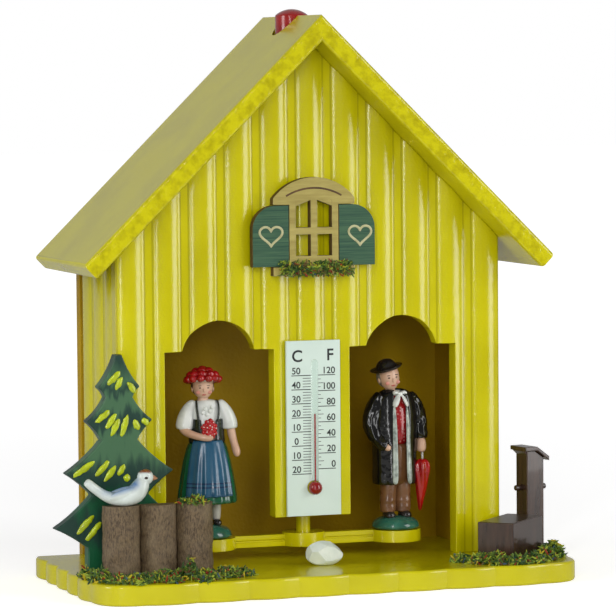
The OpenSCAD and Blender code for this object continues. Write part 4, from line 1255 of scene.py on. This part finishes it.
def make_tree_green():
    """Brushed greens: each tier is grey green above and nearly black green along its lower edge."""
    grey, dark, foot = (0.050, 0.130, 0.060, 1), (0.008, 0.038, 0.026, 1), (0.003, 0.085, 0.030, 1)
    stops = [
        (0.10, foot), (0.155, dark), (0.24, dark), (0.34, foot), (0.40, dark), (0.47, dark), (0.54, grey),
        (0.63, grey), (0.665, dark), (0.72, dark), (0.76, grey), (0.81, grey), (0.84, dark), (0.88, grey),
    ]
    drift = 15
    made, tree, shader = new_material("tree_green", {"Roughness": 0.45})
    stroke = clouds(tree, stretched(tree, (520, 520, 90)), detail=3.0)
    drifted = calc(tree, "MULTIPLY_ADD", stroke, drift * MM, -drift / 2 * MM)
    height = calc(tree, "ADD", object_axis(tree, "Z"), drifted)
    ramp = add(tree, "ShaderNodeValToRGB", {0: graded(tree, height, tree_low.z * MM, tree_high.z * MM)})
    elements = ramp.color_ramp.elements
    elements[0].color = foot
    elements[1].color = dark
    for position, colour in stops:
        elements.new(position).color = colour
    feed(tree, shader, {"Base Color": ramp.outputs[0], "Normal": bumped(tree, stroke, 0.5, depth=0.25)})
    return made


def add_tree_board():
    """The flat board, with bowed edges on its boughs and a straight foot."""
    upper_sag, lower_sag = -0.6, -0.4
    tall = tree_high.z - tree_low.z
    turns = [
        (1.0, tall), (6.8, 0.853 * tall), (4.4, 0.806 * tall), (10.7, 0.701 * tall), (5.8, 0.613 * tall),
        (17.4, 0.467 * tall), (9.0, 0.366 * tall), (21.0, 0.219 * tall), (10.5, 0.128 * tall), (10.5, 0),
    ]
    foot = len(turns) - 2
    right = []
    for i, (a, b) in enumerate(zip(turns, turns[1:])):
        right += bow(a, b, 0 if i == foot else upper_sag if i % 2 == 0 else lower_sag)
    right.append(Vector(turns[-1]))
    outline = right + [Vector((-p.x, p.y)) for p in reversed(right)]
    bm = bmesh.new()
    corners = [(tree_x + p.x, tree_low.y, tree_low.z + p.y) for p in outline]
    draw_board(bm, corners, (0, tree_high.y - tree_low.y, 0))
    round_rims(bm, 0.5, segments=3)
    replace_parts(add_piece("fir_board", bm, [make_tree_green()], "house"), "fir_tree")


def add_tree_dabs():
    """Thick dabs of paint, each with its place on the board, its lean in degrees and its half length."""
    half_w, half_d, uneven, per_mm = 1.0, 0.55, 0.35, 0.9
    dabs = [
        (-1.7, 61.4, 43, 2.9), (-0.1, 59.7, 29, 2.2), (4.0, 58.2, -32, 2.1), (-5.4, 49.6, 50, 2.9),
        (-2.7, 48.1, 35, 2.9), (-1.5, 46.0, 28, 2.9), (1.5, 46.4, 18, 3.6), (5.3, 46.8, -24, 1.8),
        (8.2, 47.5, -47, 1.5), (-11.6, 33.5, 57, 4.2), (-5.8, 33.4, 44, 3.2), (-3.2, 31.7, 39, 3.0),
        (0.4, 32.7, 33, 2.0), (2.1, 30.2, 29, 1.1), (-11.4, 16.1, 43, 3.9), (-8.7, 14.0, 41, 3.8),
        (3.5, 14.5, -29, 2.9), (8.5, 15, -36, 2.9),
    ]
    bm = bmesh.new()
    for x, z, lean, half in dabs:
        blob(bm, (tree_x + x, tree_low.y - 0.05, tree_low.z + z), (half_w, half_d, half), lean)
    for v in bm.verts:
        v.co.x += uneven * noise.noise(v.co * per_mm)
        v.co.z += uneven * noise.noise(v.co.yzx * per_mm)
    add_piece("fir_dabs", bm, [bough_yellow], "house")


add_tree_board()
add_tree_dabs()


# Log fence: three short branches with their bark on, split in half and glued together side by side.
# They are stained brown and glued upright to the terrace.
logs_low, logs_high = box_mm("log_fence")
LOG_R = logs_high.y - logs_low.y


def make_bark():
    """Dark furrows between paler ridges, worn bare in patches."""
    made, tree, shader = new_material("bark", {"Roughness": 0.55})
    furrow = clouds(tree, stretched(tree, (2100, 2100, 760)), detail=5.0, roughness=0.65)
    patch = clouds(tree, object_place(tree), scale=160.0, detail=3.0)
    ridge, worn = graded(tree, furrow, 0.36, 0.62), graded(tree, patch, 0.45, 0.75, last=0.6)
    bark = mixed(tree, ridge, (0.048, 0.030, 0.016, 1), (0.19, 0.130, 0.066, 1))
    feed(tree, shader, {
        "Base Color": mixed(tree, worn, bark, (0.24, 0.18, 0.10, 1)),
        "Normal": bumped(tree, furrow, 0.8, depth=0.5),
    })
    return made


def cut_away(bm, point, way):
    """Cuts off what lies beyond a plane, and closes the cut."""
    bmesh.ops.bisect_plane(bm, geom=bm.verts[:] + bm.edges[:] + bm.faces[:], plane_co=point, plane_no=way,
                           clear_outer=True)
    bmesh.ops.holes_fill(bm, edges=[e for e in bm.edges if e.is_boundary], sides=0)


def draw_log(bm, centre, tall):
    """Draws the front half of an uneven log."""
    radius, back_gap = LOG_R - 0.15, 0.05
    log = bmesh.new()
    bmesh.ops.create_cone(log, cap_ends=True, segments=64, radius1=radius, radius2=radius, depth=tall)
    upright = [e for e in log.edges if abs(e.verts[0].co.z - e.verts[1].co.z) > 1]
    bmesh.ops.subdivide_edges(log, edges=upright, cuts=28)
    for v in log.verts:
        bulge = 0.35 * noise.noise(v.co * 0.25 + centre) + 0.22 * noise.noise(v.co * 1.1 + centre)
        v.co.xy += v.co.xy.normalized() * bulge
    cut_away(log, (0, -back_gap, 0), (0, 1, 0))
    bmesh.ops.translate(log, vec=centre, verts=log.verts)
    mesh = bpy.data.meshes.new("log")
    log.to_mesh(mesh)
    log.free()
    bm.from_mesh(mesh)
    bpy.data.meshes.remove(mesh)


def add_logs():
    """The three half logs in one piece."""
    tall = logs_high.z - logs_low.z
    step = (logs_high.x - logs_low.x - 2 * LOG_R) / 2
    bm = bmesh.new()
    for i in range(3):
        draw_log(bm, Vector((logs_low.x + LOG_R + i * step, logs_high.y, logs_low.z + tall / 2)), tall)
    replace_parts(add_piece("log_row", bm, [make_bark()], "house"), "log_fence")


add_logs()


# Bird: a small cast bird with a long tail, glued on the first log.
# It is painted white by hand, with a blue back, a red-brown crown and a pale orange beak.
bird_low, bird_high = box_mm("bird")
bird_y = (bird_low.y + bird_high.y) / 2
bird_head = Vector((-60.3, bird_y, 37.6))
beak_orange = painted("beak_orange", (0.42, 0.22, 0.12), (0.34, 0.15, 0.07),
                      pool=400, grit=1200, peel=0.1, gloss=(0.2, 0.3), coat=0.3)


def make_bird_paint():
    """White paint with tints brushed over it, which the mesh carries as its own colour."""
    made = painted("bird_paint", (1, 1, 1), (0.86, 0.86, 0.84),
                   pool=260, grit=900, peel=0.12, gloss=(0.16, 0.3), coat=0.4)
    tint = add(made.node_tree, "ShaderNodeAttribute", attribute_name="tint")
    overpaint(made, 1.0, tint.outputs["Color"], "MULTIPLY")
    return made


def bird_tint(point):
    """White, turning to blue on the back between the tail and the breast, and to brown on the crown."""
    white, back_blue = Vector((0.66, 0.72, 0.68)), Vector((0.05, 0.16, 0.40))
    crown_brown = Vector((0.20, 0.06, 0.025))
    above_wing = (point.z - 31.6 - 0.25 * (point.x + 72)) / 1.8
    on_back = clamp(above_wing) * clamp((-62.4 - point.x) / 1.5) * clamp((point.x + 75) / 3)
    on_crown = clamp((point.z - bird_head.z - 1.3) / 0.4) if point.x > bird_head.x - 3 else 0
    return white.lerp(back_blue, 0.9 * on_back).lerp(crown_brown, on_crown)


def add_bird():
    """The body from the tail to the neck, the head and the two wings, in one tinted piece."""
    spine = [
        ((-79.4, bird_y, 37.1), 1.3), ((-78.8, bird_y, 36.6), 1.65), ((-76.6, bird_y, 34.7), 1.75),
        ((-74.3, bird_y, 32.9), 1.8), ((-71.5, bird_y, 31.4), 2.2), ((-68.7, bird_y, 31.1), 2.7),
        ((-65.8, bird_y, 31.4), 3.15), ((-63.5, bird_y, 32.3), 3.75), ((-61.9, bird_y, 34.5), 3.3),
        ((-61.0, bird_y, 36.5), 2.7), ((-60.6, bird_y, 37.7), 1.3),
    ]
    bm = bmesh.new()
    loft(bm, along(spine, flat=0.85), sides=20)
    blob(bm, bird_head, (2.6, 2.4, 2.5))
    for side in (-1, 1):
        blob(bm, (-67.3, bird_y + side * 2.0, 32.8), (5.2, 0.8, 1.6), -14, detail=4)
    layer = bm.verts.layers.float_color.new("tint")
    for v in bm.verts:
        v[layer] = (*bird_tint(v.co), 1)
    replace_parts(add_piece("bird_body", bm, [make_bird_paint()], "house", rounds=1), "bird")


def add_bird_face():
    """A short beak and two eyes."""
    bm = bmesh.new()
    beak = [((1.7, 0, -0.2), 1.2), ((2.8, 0, -0.4), 0.8), ((3.9, 0, -0.6), 0.2)]
    loft(bm, along([(bird_head + Vector(step), radius) for step, radius in beak]), sides=10)
    for side in (-1, 1):
        blob(bm, bird_head + Vector((-0.3, side * 2.25, -0.1)), (0.6, 0.3, 0.42), material=1)
    add_piece("bird_beak_and_eyes", bm, [beak_orange, eye_dark], "house")


add_bird()
add_bird_face()


# Well: a solid trough, a square post and a bent cap of dark stained wood under gloss lacquer, with a
# pin through the post for its spout.
well_brown = wooden("well_brown", (0.060, 0.029, 0.017), (0.020, 0.010, 0.006),
                    stretch=(500, 500, 60), roughness=0.26, relief=0.2, coat=0.3)
water_dark = wooden("water_dark", (0.060, 0.040, 0.026), (0.036, 0.024, 0.016),
                    stretch=(60, 60, 60), roughness=0.3, relief=0.03, specular=0.25)
trough_mesh = rounded_copy("well_trough", 0.4)
give_second_material(trough_mesh, lambda normal: normal.z > 0.95)
trough = add_piece("well_trough_block", trough_mesh, [well_brown, water_dark], "house")
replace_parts(trough, "well_trough")
add_rounded("well_post", 0.3, well_brown, "house", "well_brown")
add_rounded("well_cap", 0.22, well_brown, "house", "well_brown", sharp=30)
add_rounded("well_spout", 0.2, well_brown, "house", "well_brown")


# Pebble: a broken piece of white stone with worn edges.
# It is glued on the middle of the terrace.
def make_white_stone():
    """White stone with faint green clouds and a fine grit."""
    made, tree, shader = new_material("white_stone", {"Roughness": 0.5})
    cloud = clouds(tree, object_place(tree), scale=260.0, detail=5.0)
    grit = clouds(tree, object_place(tree), scale=1800.0)
    feed(tree, shader, {
        "Base Color": mixed(tree, cloud, (0.84, 0.88, 0.82, 1), (0.56, 0.64, 0.56, 1)),
        "Normal": bumped(tree, grit, 0.4, depth=0.3),
    })
    return made


def add_pebble():
    """A ball that is broken along planes, each with its way and its share of the stone's half size."""
    low, high = box_mm("pebble")
    middle, half = (low + high) / 2, (high - low) / 2
    breaks = [
        ((-1, -0.15, 0.1), 0.92), ((1, 0.1, -0.1), 0.95), ((0.25, -0.3, 0.92), 0.86),
        ((0.75, -0.2, 0.6), 0.82), ((-0.5, -0.5, 0.7), 0.90), ((0.1, -1, 0.1), 0.86),
        ((0.6, -0.75, 0.2), 0.88), ((-0.6, -0.7, -0.3), 0.90), ((0, 0, -1), 0.97),
        ((0.2, 0.9, 0.3), 0.90), ((-0.4, 0.7, 0.6), 0.88),
    ]
    splinter, wear, sharp = 0.25, 0.3, math.radians(14)
    bm = bmesh.new()
    bmesh.ops.create_icosphere(bm, subdivisions=4, radius=1.1)
    for way, reach in breaks:
        way = Vector(way).normalized()
        cut_away(bm, way * reach, way)
    bmesh.ops.scale(bm, vec=half, verts=bm.verts)
    bmesh.ops.remove_doubles(bm, verts=bm.verts, dist=splinter)
    worn = [e for e in bm.edges if e.calc_face_angle(0) > sharp]
    bmesh.ops.bevel(bm, geom=worn, offset=wear, affect="EDGES", segments=2, profile=0.5, material=-1,
                    clamp_overlap=True)
    bmesh.ops.translate(bm, vec=middle, verts=bm.verts)
    pebble = add_piece("white_pebble", bm, [make_white_stone()], "house", smooth_below=28)
    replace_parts(pebble, "pebble")


add_pebble()


# Moss: loose dyed flock and shreds, strewn in glue on the terrace, on a log and along the window sill,
# with coloured bits for blossoms.
flock_paints, flock_shares = [], []
for colour, thin, thick, share in (
    ("dark", (0.035, 0.085, 0.014), (0.018, 0.050, 0.008), 30),
    ("mid", (0.12, 0.20, 0.024), (0.07, 0.13, 0.015), 34),
    ("bright", (0.34, 0.42, 0.035), (0.23, 0.30, 0.022), 20),
    ("brown", (0.16, 0.085, 0.030), (0.09, 0.045, 0.016), 8),
    ("blue", (0.05, 0.10, 0.15), (0.03, 0.06, 0.10), 2),
    ("yellow", (0.58, 0.46, 0.02), (0.45, 0.33, 0.01), 5),
    ("red", (0.34, 0.030, 0.012), (0.21, 0.014, 0.006), 5),
):
    flock_paints.append(painted("flock_" + colour, thin, thick,
                                pool=700, grit=2500, peel=0.5, gloss=(0.5, 0.7), coat=0))
    flock_shares.append(share)


def strew(name, count, place_of, seed, replaces, size=1.0):
    """Strews shreds over a bed, where place_of turns a source of chance into a point."""
    half_sizes = ((0.6, 1.9), (0.25, 0.5), (0.12, 0.3))
    tilt = 0.7
    chance = random.Random(seed)
    bm = bmesh.new()
    for i in range(count):
        turn = Matrix.Rotation(chance.uniform(0, math.tau), 4, "Z")
        turn = turn @ Matrix.Rotation(chance.gauss(0, tilt), 4, "Y")
        turn = turn @ Matrix.Rotation(chance.uniform(0, math.tau), 4, "X")
        half = [size * chance.uniform(least, most) for least, most in half_sizes]
        shred = Matrix.Translation(place_of(chance)) @ turn @ Matrix.Diagonal((*half, 1))
        kind = chance.choices(range(len(flock_paints)), flock_shares)[0]
        lump(bm, shred, detail=1, material=kind)
    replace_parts(add_piece(name, bm, flock_paints, "house", smooth_below=30), replaces)


def bed_of(tufts, ground):
    """Points of low heaps, each heap a middle, a radius and a height."""
    areas = [r * r for x, y, r, h in tufts]

    def place_of(chance):
        x, y, r, h = chance.choices(tufts, areas)[0]
        angle, out = chance.uniform(0, math.tau), math.sqrt(chance.random())
        rise = h * (1 - out * out) * chance.random() ** 0.6
        return x + r * out * math.cos(angle), y + r * out * math.sin(angle), ground + 0.25 + rise
    return place_of


def on_sill(chance):
    """A point of the strip along the window sill, which is deepest at its foot."""
    low, high = box_mm("window_moss")
    rise = chance.random()
    deep = (1 - rise) * chance.random() ** 0.7 * 2.4
    return chance.uniform(-11.5, 12.5), high.y - 0.3 - deep, low.z + 0.6 + 4.6 * rise


terrace_z = box_mm("base_plate")[1].z
left_bed = [
    (-77, -12, 3.0, 2.4), (-77.5, -19, 3.2, 3.4), (-76, -26, 4.0, 4.2), (-71, -30.5, 4.6, 2.4),
    (-64, -31, 5.4, 2.4), (-57, -31, 5.2, 3.4), (-50, -30, 4.4, 4.6), (-47.5, -26.5, 2.2, 7.0),
    (-43.5, -31, 5.0, 2.8), (-37, -30, 4.8, 3.4), (-31.5, -28.5, 4.0, 2.0), (-35, -25.5, 3.0, 2.6),
    (-67, -36, 3.2, 1.2), (-56, -36.5, 3.0, 1.4), (-46, -36.5, 3.0, 1.4),
]
right_bed = [
    (43, -24, 3.6, 2.2), (47, -30, 4.2, 3.0), (51.5, -34, 4.4, 3.6), (57.5, -35, 4.4, 2.6),
    (63.5, -34, 4.2, 3.4), (69, -30, 4.2, 4.6), (74, -24.5, 4.0, 5.4), (76.5, -18.5, 3.2, 4.2),
    (77, -13, 2.6, 2.6), (52, -28.5, 3.2, 3.0),
]
last_log_x = logs_high.x - LOG_R
log_bed = [(last_log_x, logs_high.y - LOG_R / 2 - 0.4, 3.4, 2.2), (last_log_x - 4, logs_high.y - 3, 2.2, 1.2)]
strew("terrace_moss_left", 2000, bed_of(left_bed, terrace_z), 11, "moss_left")
strew("terrace_moss_right", 1450, bed_of(right_bed, terrace_z), 12, "moss_right")
strew("log_tuft", 190, bed_of(log_bed, logs_high.z), 13, "log_moss")
strew("sill_moss", 420, on_sill, 14, "window_moss", size=0.85)
